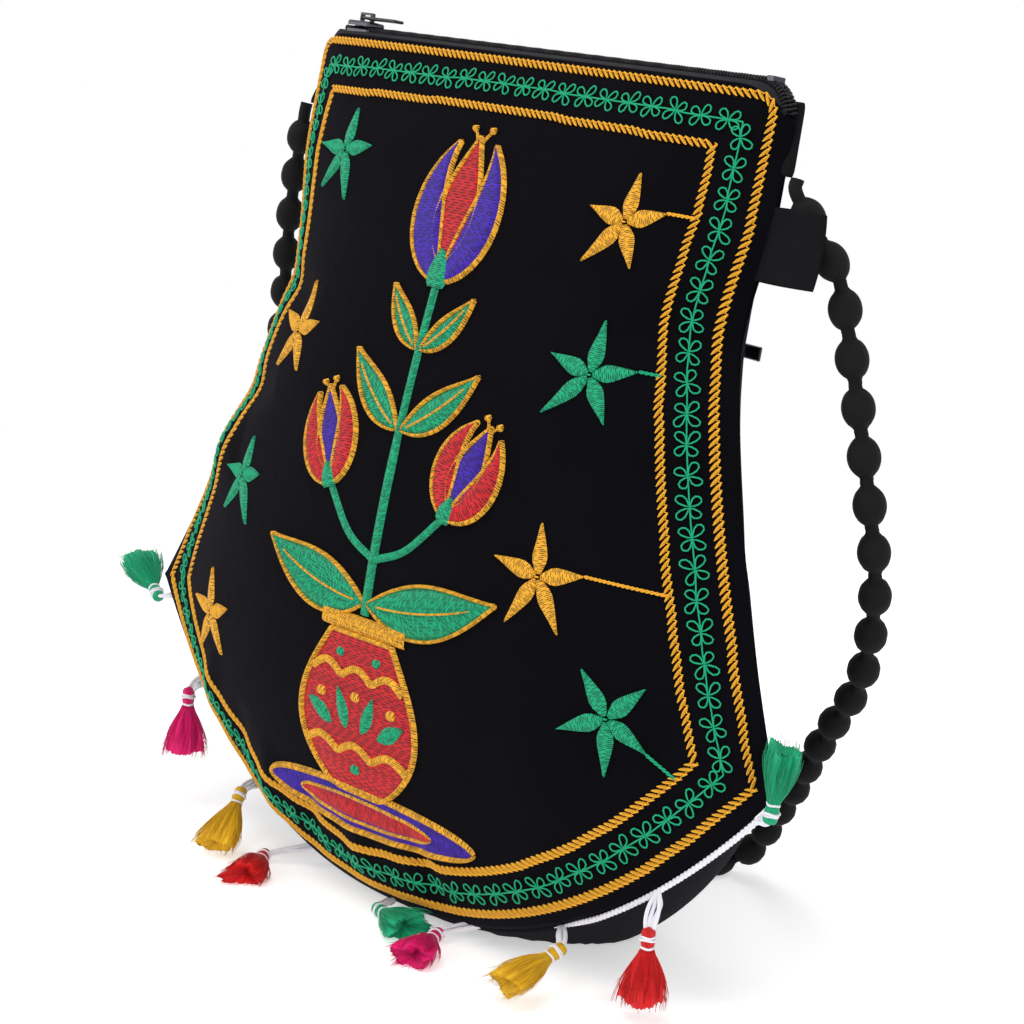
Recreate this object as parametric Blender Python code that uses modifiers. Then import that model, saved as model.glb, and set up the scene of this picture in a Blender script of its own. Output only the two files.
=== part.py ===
"""A stuffed velvet shoulder bag with an embroidered front, standing on its base and leaning back.

The bag has a frame of its own: X runs across it, Y from its front to its back and Z up its middle. The
seam between the panels lies at Y = 0, with its lowest point at Z = 0. An empty leans this frame back.
"""
import math

import bmesh
import bpy
from mathutils import Matrix, Vector
from mathutils.bvhtree import BVHTree
from mathutils.geometry import delaunay_2d_cdt, intersect_line_line_2d

# How the bag stands. The origin is the middle of the flat of its base.
LEAN = math.radians(13.5)
SEAM_FORWARD = 0.026
SEAM_ABOVE_FLOOR = 0.003

# The flat pattern of both panels, at the seam.
BAG_HEIGHT = 0.281
TOP_HALF = 0.111
SHOULDER_DROP = 0.036
SHOULDER_HEIGHT = BAG_HEIGHT - SHOULDER_DROP
WAIST_HALF = 0.106
WAIST_DROP = 0.077
WAIST_HEIGHT = BAG_HEIGHT - WAIST_DROP
CORNER_HALF = 0.152
CORNER_HEIGHT = 0.077
FLARE_POWER = 1.35
BOTTOM_POWER = 2.3

# How far the stuffing swells the panels, and how soon the swell is reached from each edge.
SEAM_HALF_GAP = 0.0012
FRONT_SWELL = 0.041
BACK_SWELL = 0.046
SIDE_REACH = 0.038
TOP_REACH = 0.066
FRONT_BOTTOM_REACH = 0.043
BACK_BOTTOM_REACH = 0.012
HEM_BOW = 0.0082
HEM_BOW_REACH = 0.058
BACK_ROW_SPREAD = 1.5
BASE_SAG = 0.036
BASE_SAG_REACH = 0.036
BASE_BULGE = 0.011

# Cloth.
VELVET = 0.0010
LINING = 0.0004
LINING_INSET = 0.0032
LINING_WIDTH_SHARE = 0.95
LINING_LOW_SHARE = 0.04
LINING_HIGH_SHARE = 0.965
SEAM_GAP = 0.0003

# Embroidery, by its distance from the seam along the cloth.
OUTER_LINE_INSET = 0.0060
INNER_LINE_INSET = 0.0227
LINE_HALF_WIDTH = 0.0014
FLOWER_PITCH = 0.0095
FLOWER_HALF_WIDTH = 0.0039
THREAD_HALF_WIDTH = 0.0004
THREAD_LIFT = 0.0005
THREAD_HEIGHT = 0.0008
STAR_RADIUS = 0.0165
STAR_NOTCH = 0.0052
FIELD_STEP = 0.015

# Stars: side, distance in from the side seam, distance from the top hem (or up from the base, where it says
# so), angle of one arm in degrees, and whether its thread tail runs on to the inner line.
STARS = {
    "star_right_1": (1, 0.0419, 0.049, "below hem", 15, True),
    "star_right_2": (1, 0.0405, 0.096, "below hem", 15, True),
    "star_right_3": (1, 0.0621, 0.123, "above base", 18, True),
    "star_right_4": (1, 0.0492, 0.087, "above base", -24, True),
    "star_left_1": (-1, 0.0417, 0.043, "below hem", 12, False),
    "star_left_2": (-1, 0.0407, 0.104, "below hem", 15, False),
    "star_left_3": (-1, 0.0462, 0.125, "above base", 12, False),
    "star_left_4": (-1, 0.0560, 0.077, "above base", 17, False),
}
GREEN_STARS = ("star_right_2", "star_right_4", "star_left_1", "star_left_3")

# The spray in the middle: a vase on a mat, a stem with leaves, and three tulips. Its stem ends below the hem.
MAT_LOW = 0.026
MAT_TALL = 0.010
MAT_HALF = 0.052
FIELD_GAP = 0.001
VASE_TALL = 0.051
VASE_FOOT_HALF = 0.011
VASE_BELLY = 0.016
VASE_SPREAD = 0.004
RIM_TALL = 0.005
RIM_HALF = 0.020
RIM_FLARE = 0.002
STEM_TOP_DROP = 0.078
STEM_FOOT_HALF = 0.0020
STEM_TIP_HALF = 0.0014
BRANCH_REACH = 0.027
BRANCH_FOOT_HALF = 0.0016
BRANCH_TIP_HALF = 0.0012
BRANCH_SHARES = (0.167, 0.222, 0.333)
LEAVES = ((0.037, 12, 0.056), (0.556, 38, 0.036), (0.796, 46, 0.026))
LEAF_FATNESS = 0.30
TOP_TULIP_LENGTH = 0.050
TOP_TULIP_WIDTH = 0.034
SIDE_TULIP_LENGTH = 0.034
SIDE_TULIP_WIDTH = 0.025
SIDE_TULIP_LEAN = 20
TULIP_FULLNESS = 0.72

# Zips: a coil row on each side of the slider's post, and a tape on each side of the rows.
TOP_ZIP_MARGIN = 0.012
TOP_ZIP_HALF = TOP_HALF - TOP_ZIP_MARGIN
TOP_ZIP_DROP = 0.0005
SLIDER_PARK = 0.008
TOP_SLIDER_X = SLIDER_PARK - TOP_ZIP_HALF
POCKET_ZIP_MARGIN = 0.010
POCKET_ZIP_HALF = WAIST_HALF - POCKET_ZIP_MARGIN
POCKET_ZIP_BELOW_HEM = 0.081
POCKET_ZIP_HEIGHT = BAG_HEIGHT - POCKET_ZIP_BELOW_HEM
POCKET_ZIP_DROP = 0.0005
POCKET_WINDOW_HALF = 0.0055
POCKET_ARC_DEPTH = 0.034
POCKET_ARC_RADIUS = 0.222
POCKET_ARC_BLEND = 0.018
POCKET_SLIDER_ALONG = POCKET_ZIP_HALF - SLIDER_PARK
COIL_INNER = 0.0009
COIL_OUTER = 0.0026
COIL_HALF_HEIGHT = 0.0008
TAPE_HALF_THICKNESS = 0.0003
STOP_LENGTH = 0.0026

# Slider and pull.
SLIDER_LENGTH = 0.0110
SLIDER_WIDTH = 0.0080
SLIDER_NARROW = 0.0074
SLIDER_HALF_HEIGHT = 0.0023
CHANNEL_HALF_HEIGHT = 0.00115
CHANNEL_HALF_WIDTH = 0.0031
SLOT_HALF_HEIGHT = 0.00065
POST_WIDTH = 0.0010
POST_LENGTH = 0.0035
BAIL_HALF_LENGTH = 0.0032
BAIL_HALF_WIDTH = 0.0009
BAIL_HEIGHT = 0.0031
BAIL_WINDOW_HALF = 0.0024
BAIL_WINDOW_HEIGHT = 0.0023
PULL_PIVOT_HEIGHT = 0.0012
PULL_THICKNESS = 0.0010
PULL_HALF_WIDTH = 0.0022
PULL_BAR = 0.0009
PULL_WINDOW_LENGTH = 0.0038
PULL_WINDOW_HALF = 0.0013
PULL_LENGTH = 0.0170

# Pocket bag, behind the back panel.
POUCH_HALF_WIDTH = 0.082
POUCH_TALL = 0.115
POUCH_BOTTOM = POCKET_ZIP_HEIGHT - POUCH_TALL
POUCH_FRONT_INSET = 0.0038
POUCH_DEPTH = 0.0036
POUCH_CLOTH = 0.0004
BACK_LINING_INSET = 0.0095

# Strap ends, label, braid.
TAB_BELOW_HEM = 0.006
TAB_TOP = BAG_HEIGHT - TAB_BELOW_HEM
TAB_LENGTH = 0.022
TAB_WIDTH = 0.005
TAB_THICKNESS = 0.003
LABEL_TALL = 0.024
LABEL_BELOW_HEM = 0.038
LABEL_LOW = BAG_HEIGHT - LABEL_BELOW_HEM - LABEL_TALL
LABEL_WIDE = 0.023
LABEL_THICKNESS = 0.0008
BRAID_RADIUS = 0.0011
BRAID_END = 0.003

# Strap: a cord on which the beads sit, in world coordinates, from the right tab to the left one.
STRAP_RADIUS = 0.0026
STRAP_POINTS = 79
STRAP_ROUTE = [
    (0.1162, 0.0330, 0.2487), (0.1165, 0.0321, 0.2450), (0.1200, 0.0360, 0.2350), (0.1270, 0.0400, 0.2200),
    (0.1310, 0.0400, 0.2060), (0.1355, 0.0400, 0.1860), (0.1390, 0.0405, 0.1660), (0.1415, 0.0415, 0.1480),
    (0.1415, 0.0440, 0.1300), (0.1370, 0.0480, 0.1120), (0.1285, 0.0530, 0.0930), (0.1143, 0.0580, 0.0750),
    (0.1001, 0.0640, 0.0580), (0.0870, 0.0700, 0.0420), (0.0740, 0.0750, 0.0270), (0.0620, 0.0790, 0.0130),
    (0.0520, 0.0780, 0.0056), (0.0475, 0.0710, 0.0048), (0.0470, 0.0620, 0.0048), (0.0410, 0.0540, 0.0048),
    (0.0180, 0.0500, 0.0048), (-0.0080, 0.0520, 0.0048), (-0.0320, 0.0580, 0.0048), (-0.0500, 0.0720, 0.0048),
    (-0.0540, 0.0910, 0.0048), (-0.0460, 0.1120, 0.0048), (-0.0480, 0.1350, 0.0048), (-0.0660, 0.1520, 0.0048),
    (-0.0920, 0.1520, 0.0048), (-0.1120, 0.1350, 0.0048), (-0.1230, 0.1120, 0.0050), (-0.1310, 0.0960, 0.0120),
    (-0.1390, 0.0800, 0.0300), (-0.1450, 0.0660, 0.0560), (-0.1475, 0.0550, 0.0830), (-0.1470, 0.0460, 0.1100),
    (-0.1430, 0.0390, 0.1360), (-0.1375, 0.0350, 0.1580), (-0.1330, 0.0335, 0.1720), (-0.1300, 0.0325, 0.1850),
    (-0.1270, 0.0320, 0.2010), (-0.1245, 0.0320, 0.2140), (-0.1215, 0.0325, 0.2280), (-0.1180, 0.0320, 0.2380),
    (-0.1165, 0.0321, 0.2450), (-0.1162, 0.0330, 0.2487),
]

# Tassels. Each hangs from the braid at a share of the way from the middle to a corner, by a yarn loop.
# After the share come the head's place from the braid and the skirt's direction, in world axes, in metres.
TASSEL_LENGTH = 0.024
TASSEL_HEAD_RADIUS = 0.0024
TASSEL_NECK_RADIUS = 0.0018
TASSEL_SKIRT_RADIUS = 0.0058
TASSEL_FLATNESS = 0.62
YARN_RADIUS = 0.0008
TASSELS = {
    "tassel_1_green": (-0.96, (-0.0050, -0.0010, -0.0016), (-0.85, 0.20, 0.42)),
    "tassel_2_pink": (-0.80, (-0.0012, -0.0036, -0.0024), (0.10, -0.16, -1.00)),
    "tassel_3_yellow": (-0.54, (0.0008, -0.0052, 0.0000), (0.35, -0.66, -0.62)),
    "tassel_4_red": (-0.31, (-0.0150, -0.0070, -0.0040), (0.62, -0.78, 0.045)),
    "tassel_5_green": (-0.02, (0.0030, -0.0082, 0.0016), (0.97, -0.24, 0.045)),
    "tassel_6_pink": (0.27, (-0.0120, -0.0060, -0.0023), (0.41, -0.91, 0.045)),
    "tassel_7_yellow": (0.49, (0.0090, -0.0050, -0.0012), (-0.08, -0.95, -0.30)),
    "tassel_8_red": (0.74, (0.0020, -0.0054, -0.0092), (0.05, -0.12, -1.00)),
    "tassel_9_green": (0.96, (0.0072, -0.0034, 0.0012), (0.10, 0.16, 1.00)),
}

# Velvet folds on the panels: x and z of the two ends, then width and depth.
FRONT_FOLDS = [
    ((-0.112, 0.196), (-0.062, 0.186), 0.0080, 0.0030),
    ((-0.122, 0.150), (-0.078, 0.158), 0.0070, 0.0026),
    ((0.106, 0.188), (0.072, 0.196), 0.0080, 0.0016),
    ((0.030, 0.004), (0.020, 0.036), 0.0055, 0.0030),
    ((-0.042, 0.005), (-0.026, 0.038), 0.0060, 0.0026),
    ((-0.086, 0.022), (-0.070, 0.050), 0.0070, 0.0020),
]
BACK_FOLDS = [
    ((-0.115, 0.160), (-0.070, 0.150), 0.0090, 0.0030),
    ((0.120, 0.140), (0.080, 0.150), 0.0090, 0.0030),
    ((-0.040, 0.050), (-0.030, 0.100), 0.0100, 0.0026),
    ((0.045, 0.048), (0.030, 0.095), 0.0100, 0.0026),
]

# Colours: base colour, roughness, metallic.
VELVET_BLACK = ("velvet", (0.006, 0.005, 0.008), 0.85, 0.0)
LINING_BLACK = ("lining", (0.012, 0.012, 0.014), 0.70, 0.0)
TAPE_BLACK = ("zip_tape", (0.010, 0.010, 0.013), 0.75, 0.0)
COIL_BLACK = ("zip_coil", (0.014, 0.014, 0.018), 0.40, 0.0)
GUNMETAL = ("zip_metal", (0.055, 0.055, 0.070), 0.35, 0.9)
STRAP_BLACK = ("strap_cloth", (0.008, 0.008, 0.010), 0.75, 0.0)
LABEL_BLACK = ("label", (0.016, 0.015, 0.018), 0.55, 0.0)
YARN_WHITE = ("white_yarn", (0.80, 0.79, 0.86), 0.80, 0.0)
GOLD_THREAD = ("gold_thread", (0.81, 0.39, 0.03), 0.45, 0.0)
GREEN_THREAD = ("green_thread", (0.01, 0.35, 0.18), 0.45, 0.0)
RED_THREAD = ("red_thread", (0.58, 0.014, 0.024), 0.45, 0.0)
PURPLE_THREAD = ("purple_thread", (0.05, 0.014, 0.38), 0.45, 0.0)
TASSEL_COLOURS = {
    "green": ("green_floss", (0.0, 0.32, 0.14), 0.55, 0.0),
    "pink": ("pink_floss", (0.78, 0.0, 0.16), 0.55, 0.0),
    "yellow": ("yellow_floss", (0.91, 0.45, 0.012), 0.55, 0.0),
    "red": ("red_floss", (0.64, 0.011, 0.018), 0.55, 0.0),
}


def half_width(z):
    """Half the bag's width at the seam."""
    if z < CORNER_HEIGHT:
        return CORNER_HALF + (CORNER_HEIGHT - z) * 0.45
    if z < WAIST_HEIGHT:
        share = (WAIST_HEIGHT - z) / (WAIST_HEIGHT - CORNER_HEIGHT)
        return WAIST_HALF + (CORNER_HALF - WAIST_HALF) * share ** FLARE_POWER
    share = min((z - WAIST_HEIGHT) / (SHOULDER_HEIGHT - WAIST_HEIGHT), 1)
    return WAIST_HALF + (TOP_HALF - WAIST_HALF) * math.sin(share * math.pi / 2) ** 2


def bottom_edge(x):
    """Height of the seam's bottom at x."""
    return CORNER_HEIGHT * (abs(x) / CORNER_HALF) ** BOTTOM_POWER


def bottom_slope(x):
    steepness = BOTTOM_POWER * CORNER_HEIGHT / CORNER_HALF
    return math.copysign(steepness * (abs(x) / CORNER_HALF) ** (BOTTOM_POWER - 1), x)


def swell(distance, reach):
    """From 0 at an edge towards 1 far from it."""
    return 1 - math.exp(-max(distance, 0) / reach)


def folds(x, z, lines):
    """Depth of the folds at a point, each a soft groove along a line that fades at its ends."""
    total = 0
    for start, end, width, depth in lines:
        along = Vector((end[0] - start[0], end[1] - start[1]))
        offset = Vector((x - start[0], z - start[1]))
        share = offset.dot(along) / along.length_squared
        across = (offset - along * share).length
        fade = math.sin(math.pi * share) if 0 < share < 1 else 0
        total += depth * fade * math.exp(-(across / width) ** 2)
    return total


def panel_depth(x, z, depth, bottom_reach):
    """How far a panel stands from the seam's plane."""
    width = half_width(z)
    above = (z - bottom_edge(x)) / math.hypot(1, bottom_slope(x))
    bow = HEM_BOW * (1 - min(abs(x) / width, 1) ** 6) * math.exp((z - BAG_HEIGHT) / HEM_BOW_REACH)
    sides = swell(width - x, SIDE_REACH) * swell(width + x, SIDE_REACH)
    ends = swell(above, bottom_reach) * swell(BAG_HEIGHT - z, TOP_REACH)
    return SEAM_HALF_GAP + bow * swell(above, 0.02) + depth * sides * ends


def front_depth(x, z):
    return panel_depth(x, z, FRONT_SWELL, FRONT_BOTTOM_REACH) - folds(x, z, FRONT_FOLDS)


def pocket_arc(x):
    """Depth of the arc that the pocket's zip follows."""
    reach = min(abs(x), 0.9 * POCKET_ARC_RADIUS)
    return POCKET_ARC_DEPTH - POCKET_ARC_RADIUS + math.sqrt(POCKET_ARC_RADIUS ** 2 - reach ** 2)


def base_share(x, z):
    """How much of the base's sag and bulge a point takes: 0 at the seam, 1 at its fullest."""
    above = max(z - bottom_edge(x), 0) / BASE_SAG_REACH
    middle = max(1 - (abs(x) / CORNER_HALF) ** 2, 0)
    return middle * above * math.exp(1 - above)


def back_depth(x, z):
    """The back panel, drawn to an even arc along the pocket's zip."""
    depth = panel_depth(x, z, BACK_SWELL, BACK_BOTTOM_REACH) - folds(x, z, BACK_FOLDS)
    depth += BASE_BULGE * base_share(x, z)
    closeness = math.exp(-((z - POCKET_ZIP_HEIGHT) / POCKET_ARC_BLEND) ** 4)
    edge = swell(half_width(z) - abs(x) - 0.004, 0.003)
    return depth + (pocket_arc(x) - depth) * closeness * edge


def front_surface(x, z):
    return Vector((x, -front_depth(x, z), z))


def back_surface(x, z):
    """The back panel, which sags onto the floor behind the seam and lies flat there."""
    lowered = z - BASE_SAG * base_share(x, z)
    depth = back_depth(x, z)
    floor = (depth * math.sin(LEAN) - SEAM_ABOVE_FLOOR) / math.cos(LEAN)
    return Vector((x, depth, max(lowered, floor)))


def lifted(surface, x, z, lift, outward):
    """A point off a surface by lift, along its normal. outward is +1 behind the bag and -1 before it."""
    step = 0.001
    across = surface(x + step, z) - surface(x - step, z)
    upward = surface(x, z + step) - surface(x, z - step)
    normal = upward.cross(across).normalized() * outward
    return surface(x, z) + normal * lift


def front_point(x, z, lift=0):
    return lifted(front_surface, x, z, lift, -1)


def back_point(x, z, lift=0):
    return lifted(back_surface, x, z, lift, 1)


def to_world():
    """The leaning bag's frame."""
    return Matrix.Translation((0, -SEAM_FORWARD, SEAM_ABOVE_FLOOR)) @ Matrix.Rotation(-LEAN, 4, "X")


def material(recipe):
    name, colour, roughness, metallic = recipe
    made = bpy.data.materials.get(name)
    if made is None:
        made = bpy.data.materials.new(name)
        made.use_nodes = True
        shader = made.node_tree.nodes["Principled BSDF"]
        shader.inputs["Base Color"].default_value = (*colour, 1)
        shader.inputs["Roughness"].default_value = roughness
        shader.inputs["Metallic"].default_value = metallic
        made.diffuse_color = (*colour, 1)
    return made


def add_object(name, data, recipe, parent=None):
    made = bpy.data.objects.new(name, data)
    bpy.data.collections["shoulder_bag"].objects.link(made)
    made.parent = parent
    data.materials.append(material(recipe))
    return made


def add_cutter(name, bm, parent):
    mesh = bpy.data.meshes.new(name)
    bm.to_mesh(mesh)
    bm.free()
    made = bpy.data.objects.new(name, mesh)
    bpy.data.collections["cutters"].objects.link(made)
    made.parent = parent
    made.hide_render = True
    made.display_type = "WIRE"
    return made


def add_empty(name, parent, location=(0, 0, 0)):
    made = bpy.data.objects.new(name, None)
    bpy.data.collections["shoulder_bag"].objects.link(made)
    made.parent = parent
    made.location = location
    return made


def face_outward(bm):
    bm.normal_update()
    bmesh.ops.recalc_face_normals(bm, faces=bm.faces)


def mesh_from(bm, name):
    """A mesh with its faces turned outward and shaded smooth up to 40 degrees."""
    face_outward(bm)
    mesh = bpy.data.meshes.new(name)
    bm.to_mesh(mesh)
    bm.free()
    mesh.shade_smooth()
    mesh.set_sharp_from_angle(angle=math.radians(40))
    return mesh


def boolean(target, operand, operation="DIFFERENCE"):
    modifier = target.modifiers.new(operand.name, "BOOLEAN")
    modifier.operation = operation
    modifier.solver = "EXACT"
    modifier.object = operand


def bevel(target, width, segments):
    modifier = target.modifiers.new("rounding", "BEVEL")
    modifier.width = width
    modifier.segments = segments
    modifier.limit_method = "ANGLE"


def sliced_box(slices, levels=1):
    """A box from 0 to 1 each way, cut into slices along X and levels along Z."""
    bm = bmesh.new()
    bmesh.ops.create_cube(bm, size=1, matrix=Matrix.Translation((0.5, 0.5, 0.5)))
    for axis, count in ((0, slices), (2, levels)):
        for k in range(1, count):
            place = Vector((0, 0, 0))
            place[axis] = k / count
            normal = Vector((0, 0, 0))
            normal[axis] = 1
            everything = bm.verts[:] + bm.edges[:] + bm.faces[:]
            bmesh.ops.bisect_plane(bm, geom=everything, plane_co=place, plane_no=normal)
    return bm


def add_bar(name, slices, place, recipe, parent):
    """A sliced box whose corners place puts where they belong."""
    bm = sliced_box(slices)
    for vert in bm.verts:
        vert.co = place(*vert.co)
    return add_object(name, mesh_from(bm, name), recipe, parent)


def block(low, high):
    """A bmesh box between two corners."""
    low, high = Vector(low), Vector(high)
    size = high - low
    scale = Matrix.Diagonal((*size, 1))
    bm = bmesh.new()
    bmesh.ops.create_cube(bm, size=1, matrix=Matrix.Translation((low + high) / 2) @ scale)
    return bm


def add_tube(name, points, radius, resolution, recipe, parent=None):
    """A round cord along points, with filled ends."""
    curve = bpy.data.curves.new(name, "CURVE")
    curve.dimensions = "3D"
    curve.bevel_depth = radius
    curve.bevel_resolution = resolution
    curve.use_fill_caps = True
    spline = curve.splines.new("POLY")
    spline.points.add(len(points) - 1)
    for target, point in zip(spline.points, points):
        target.co = (*point, 1)
    return add_object(name, curve, recipe, parent)


def smooth_route(route, count):
    """Evenly spaced points along a smooth curve through the route's points."""
    route = [Vector(p) for p in route]
    ends = [route[0] * 2 - route[1]] + route + [route[-1] * 2 - route[-2]]
    fine = []
    for before, start, end, after in zip(ends, ends[1:], ends[2:], ends[3:]):
        for k in range(20):
            t = k / 20
            fine.append(0.5 * (2 * start + (end - before) * t
                               + (2 * before - 5 * start + 4 * end - after) * t ** 2
                               + (3 * start - before - 3 * end + after) * t ** 3))
    fine.append(route[-1])
    return spaced(fine, count)


def spaced(points, count):
    """The same path with count points at even steps."""
    lengths = [0]
    for a, b in zip(points, points[1:]):
        lengths.append(lengths[-1] + (b - a).length)
    result = []
    k = 0
    for i in range(count):
        target = lengths[-1] * i / (count - 1)
        while k < len(points) - 2 and lengths[k + 1] < target:
            k += 1
        share = (target - lengths[k]) / max(lengths[k + 1] - lengths[k], 1e-9)
        result.append(points[k].lerp(points[k + 1], min(share, 1)))
    return result


def ease(value):
    """Closer grid lines towards both edges, over -1 to 1."""
    return 0.5 * value + 0.5 * math.sin(value * math.pi / 2)


def panel_place(u, v):
    """Flat-pattern x and z for u from -1 to 1 across the bag and v from 0 to 1 up it."""
    side = CORNER_HEIGHT + (BAG_HEIGHT - CORNER_HEIGHT) * v
    sag = CORNER_HEIGHT * (1 - abs(u) ** BOTTOM_POWER) * (1 - v) ** 2
    return u * half_width(side), side - sag


def add_shell(name, columns, rows, place, thickness, recipe, parent):
    """A grid from -1 to 1 each way, put in space by place and thickened inward."""
    bm = bmesh.new()
    bmesh.ops.create_grid(bm, x_segments=columns, y_segments=rows, size=1)
    for vert in bm.verts:
        vert.co = place(vert.co.x, vert.co.y)
    bmesh.ops.triangulate(bm, faces=bm.faces)
    mesh = bpy.data.meshes.new(name)
    bm.to_mesh(mesh)
    bm.free()
    mesh.shade_smooth()
    made = add_object(name, mesh, recipe, parent)
    modifier = made.modifiers.new("cloth", "SOLIDIFY")
    modifier.thickness = thickness
    modifier.offset = -1
    return made


def lining_inset(depth, most):
    return min(most, max(0.45 * depth, 2 * VELVET))


def lining_share(v):
    """How far up the panel the lining's grid line at v from -1 to 1 lies."""
    return LINING_LOW_SHARE + (LINING_HIGH_SHARE - LINING_LOW_SHARE) * (v + 1) / 2


def make_panels(bag):
    def front(u, v):
        return front_point(*panel_place(ease(u), (ease(v) + 1) / 2))

    def back(u, v):
        return back_point(*panel_place(-ease(u), ((v + 1) / 2) ** BACK_ROW_SPREAD))

    def front_inside(u, v):
        x, z = panel_place(LINING_WIDTH_SHARE * ease(u), lining_share(v))
        return front_point(x, z, -lining_inset(front_depth(x, z), LINING_INSET))

    def back_inside(u, v):
        x, z = panel_place(-LINING_WIDTH_SHARE * ease(u), lining_share(v))
        return back_point(x, z, -lining_inset(back_depth(x, z), BACK_LINING_INSET))

    front_panel = add_shell("front_panel", 20, 22, front, VELVET, VELVET_BLACK, bag)
    back_panel = add_shell("back_panel", 16, 18, back, VELVET, VELVET_BLACK, bag)
    add_shell("front_lining", 7, 7, front_inside, LINING, LINING_BLACK, bag)
    add_shell("back_lining", 7, 7, back_inside, LINING, LINING_BLACK, bag)
    return front_panel, back_panel


def make_pouch(bag):
    """The pocket's cloth bag, open along the zip and closed at its sides and bottom."""
    top = POCKET_ZIP_HEIGHT + POCKET_WINDOW_HALF + SEAM_GAP
    mouth = POCKET_ZIP_HEIGHT - POCKET_WINDOW_HALF - SEAM_GAP
    levels = 8
    bm = sliced_box(6, levels)
    lid = 1 - 1 / levels
    gone = [f for f in bm.faces if f.calc_center_median().z > lid and abs(f.normal.x) < 0.5
            and (f.normal.z > 0.5 or f.normal.y > 0.5)]
    bmesh.ops.delete(bm, geom=gone, context="FACES")
    rim = [v for v in bm.verts if v.co.z > lid + 0.01 and v.co.y > 0.5]
    bmesh.ops.delete(bm, geom=rim, context="VERTS")
    for vert in bm.verts:
        across, inward, up = vert.co.x * 2 - 1, 1 - vert.co.y, vert.co.z
        z = POUCH_BOTTOM + (mouth - POUCH_BOTTOM) * min(up / lid, 1)
        if up > lid + 0.01:
            z = top
        pinch = swell(0.02 + up, 0.25)
        depth = POUCH_FRONT_INSET + POUCH_DEPTH * inward * pinch
        vert.co = back_point(across * POUCH_HALF_WIDTH, z, -depth)
    face_outward(bm)
    mesh = bpy.data.meshes.new("pocket_bag")
    bm.to_mesh(mesh)
    bm.free()
    made = add_object("pocket_bag", mesh, LINING_BLACK, bag)
    modifier = made.modifiers.new("cloth", "SOLIDIFY")
    modifier.thickness = POUCH_CLOTH
    modifier.offset = 0


def top_zip_place(along, across, out):
    return Vector((along, across, BAG_HEIGHT - TOP_ZIP_DROP + out))


def pocket_zip_place(along, across, out):
    """The pocket zip's frame: along the arc, down the panel, and out of it."""
    angle = along / POCKET_ARC_RADIUS
    radius = POCKET_ARC_RADIUS - POCKET_ZIP_DROP + out
    centre = POCKET_ARC_DEPTH - POCKET_ARC_RADIUS
    return Vector((radius * math.sin(angle), centre + radius * math.cos(angle), POCKET_ZIP_HEIGHT - across))


def add_zip_rows(names, half_length, place, tape_edge, slices, parent):
    """Two coil rows and the tapes beside them. names holds a tape and a coil for each side."""
    for side, (tape_name, coil_name) in zip((-1, 1), names):
        def coil(u, v, w):
            along = (2 * u - 1) * half_length
            across = side * (COIL_INNER + (COIL_OUTER - COIL_INNER) * v)
            return place(along, across, (2 * w - 1) * COIL_HALF_HEIGHT)

        def tape(u, v, w):
            along = (2 * u - 1) * half_length
            inner = COIL_OUTER + SEAM_GAP
            across = side * (inner + (tape_edge(along) - inner) * v)
            return place(along, across, (2 * w - 1) * TAPE_HALF_THICKNESS)

        add_bar(coil_name, slices, coil, COIL_BLACK, parent)
        add_bar(tape_name, slices, tape, TAPE_BLACK, parent)


def add_stop(name, along, place, parent):
    """The metal stop past the end of both rows."""
    start = along + SEAM_GAP

    def stop(u, v, w):
        return place(start + STOP_LENGTH * u, (2 * v - 1) * COIL_OUTER, (2 * w - 1) * COIL_HALF_HEIGHT)

    add_bar(name, 1, stop, GUNMETAL, parent)


def add_slider(name, parent, wide_end):
    """A slider: two plates with turned-in edges, joined by a post at the wide end, under a bail.

    wide_end is +1 where the wide end points along +X, and -1 where it points along -X.
    """
    half_length = SLIDER_LENGTH / 2
    body = block((-half_length, -SLIDER_WIDTH / 2, -SLIDER_HALF_HEIGHT),
                 (half_length, SLIDER_WIDTH / 2, SLIDER_HALF_HEIGHT))
    for vert in body.verts:
        if vert.co.x * wide_end < 0:
            vert.co.y *= SLIDER_NARROW / SLIDER_WIDTH
    slider = add_object(name, mesh_from(body, name), GUNMETAL, parent)
    bevel(slider, 0.0007, 2)
    post_start = (half_length - POST_LENGTH) * wide_end
    far_end = -2 * half_length * wide_end
    clear = 2 * half_length
    channel = CHANNEL_HALF_HEIGHT
    overlap = 0.0001
    cuts = [((min(post_start, far_end), -POST_WIDTH / 2 - overlap, -channel),
             (max(post_start, far_end), POST_WIDTH / 2 + overlap, channel))]
    for side in (-1, 1):
        spans = ((POST_WIDTH / 2, CHANNEL_HALF_WIDTH, channel),
                 (CHANNEL_HALF_WIDTH - overlap, SLIDER_WIDTH, SLOT_HALF_HEIGHT))
        for near, far, height in spans:
            low, high = sorted((side * near, side * far))
            cuts.append(((-clear, low, -height), (clear, high, height)))
    for k, (low, high) in enumerate(cuts):
        boolean(slider, add_cutter(f"{name}_cut_{k}", block(low, high), parent))
    foot = SLIDER_HALF_HEIGHT - 0.0004
    crown = SLIDER_HALF_HEIGHT + BAIL_HEIGHT
    arch = add_cutter(f"{name}_bail", block((-BAIL_HALF_LENGTH, -BAIL_HALF_WIDTH, foot),
                                            (BAIL_HALF_LENGTH, BAIL_HALF_WIDTH, crown)), parent)
    bevel(arch, 0.0004, 2)
    window = add_cutter(f"{name}_bail_window",
                        block((-BAIL_WINDOW_HALF, -SLIDER_WIDTH, foot - 0.001),
                              (BAIL_WINDOW_HALF, SLIDER_WIDTH, SLIDER_HALF_HEIGHT + BAIL_WINDOW_HEIGHT)),
                        parent)
    boolean(arch, window)
    boolean(slider, arch, "UNION")
    return slider


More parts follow.
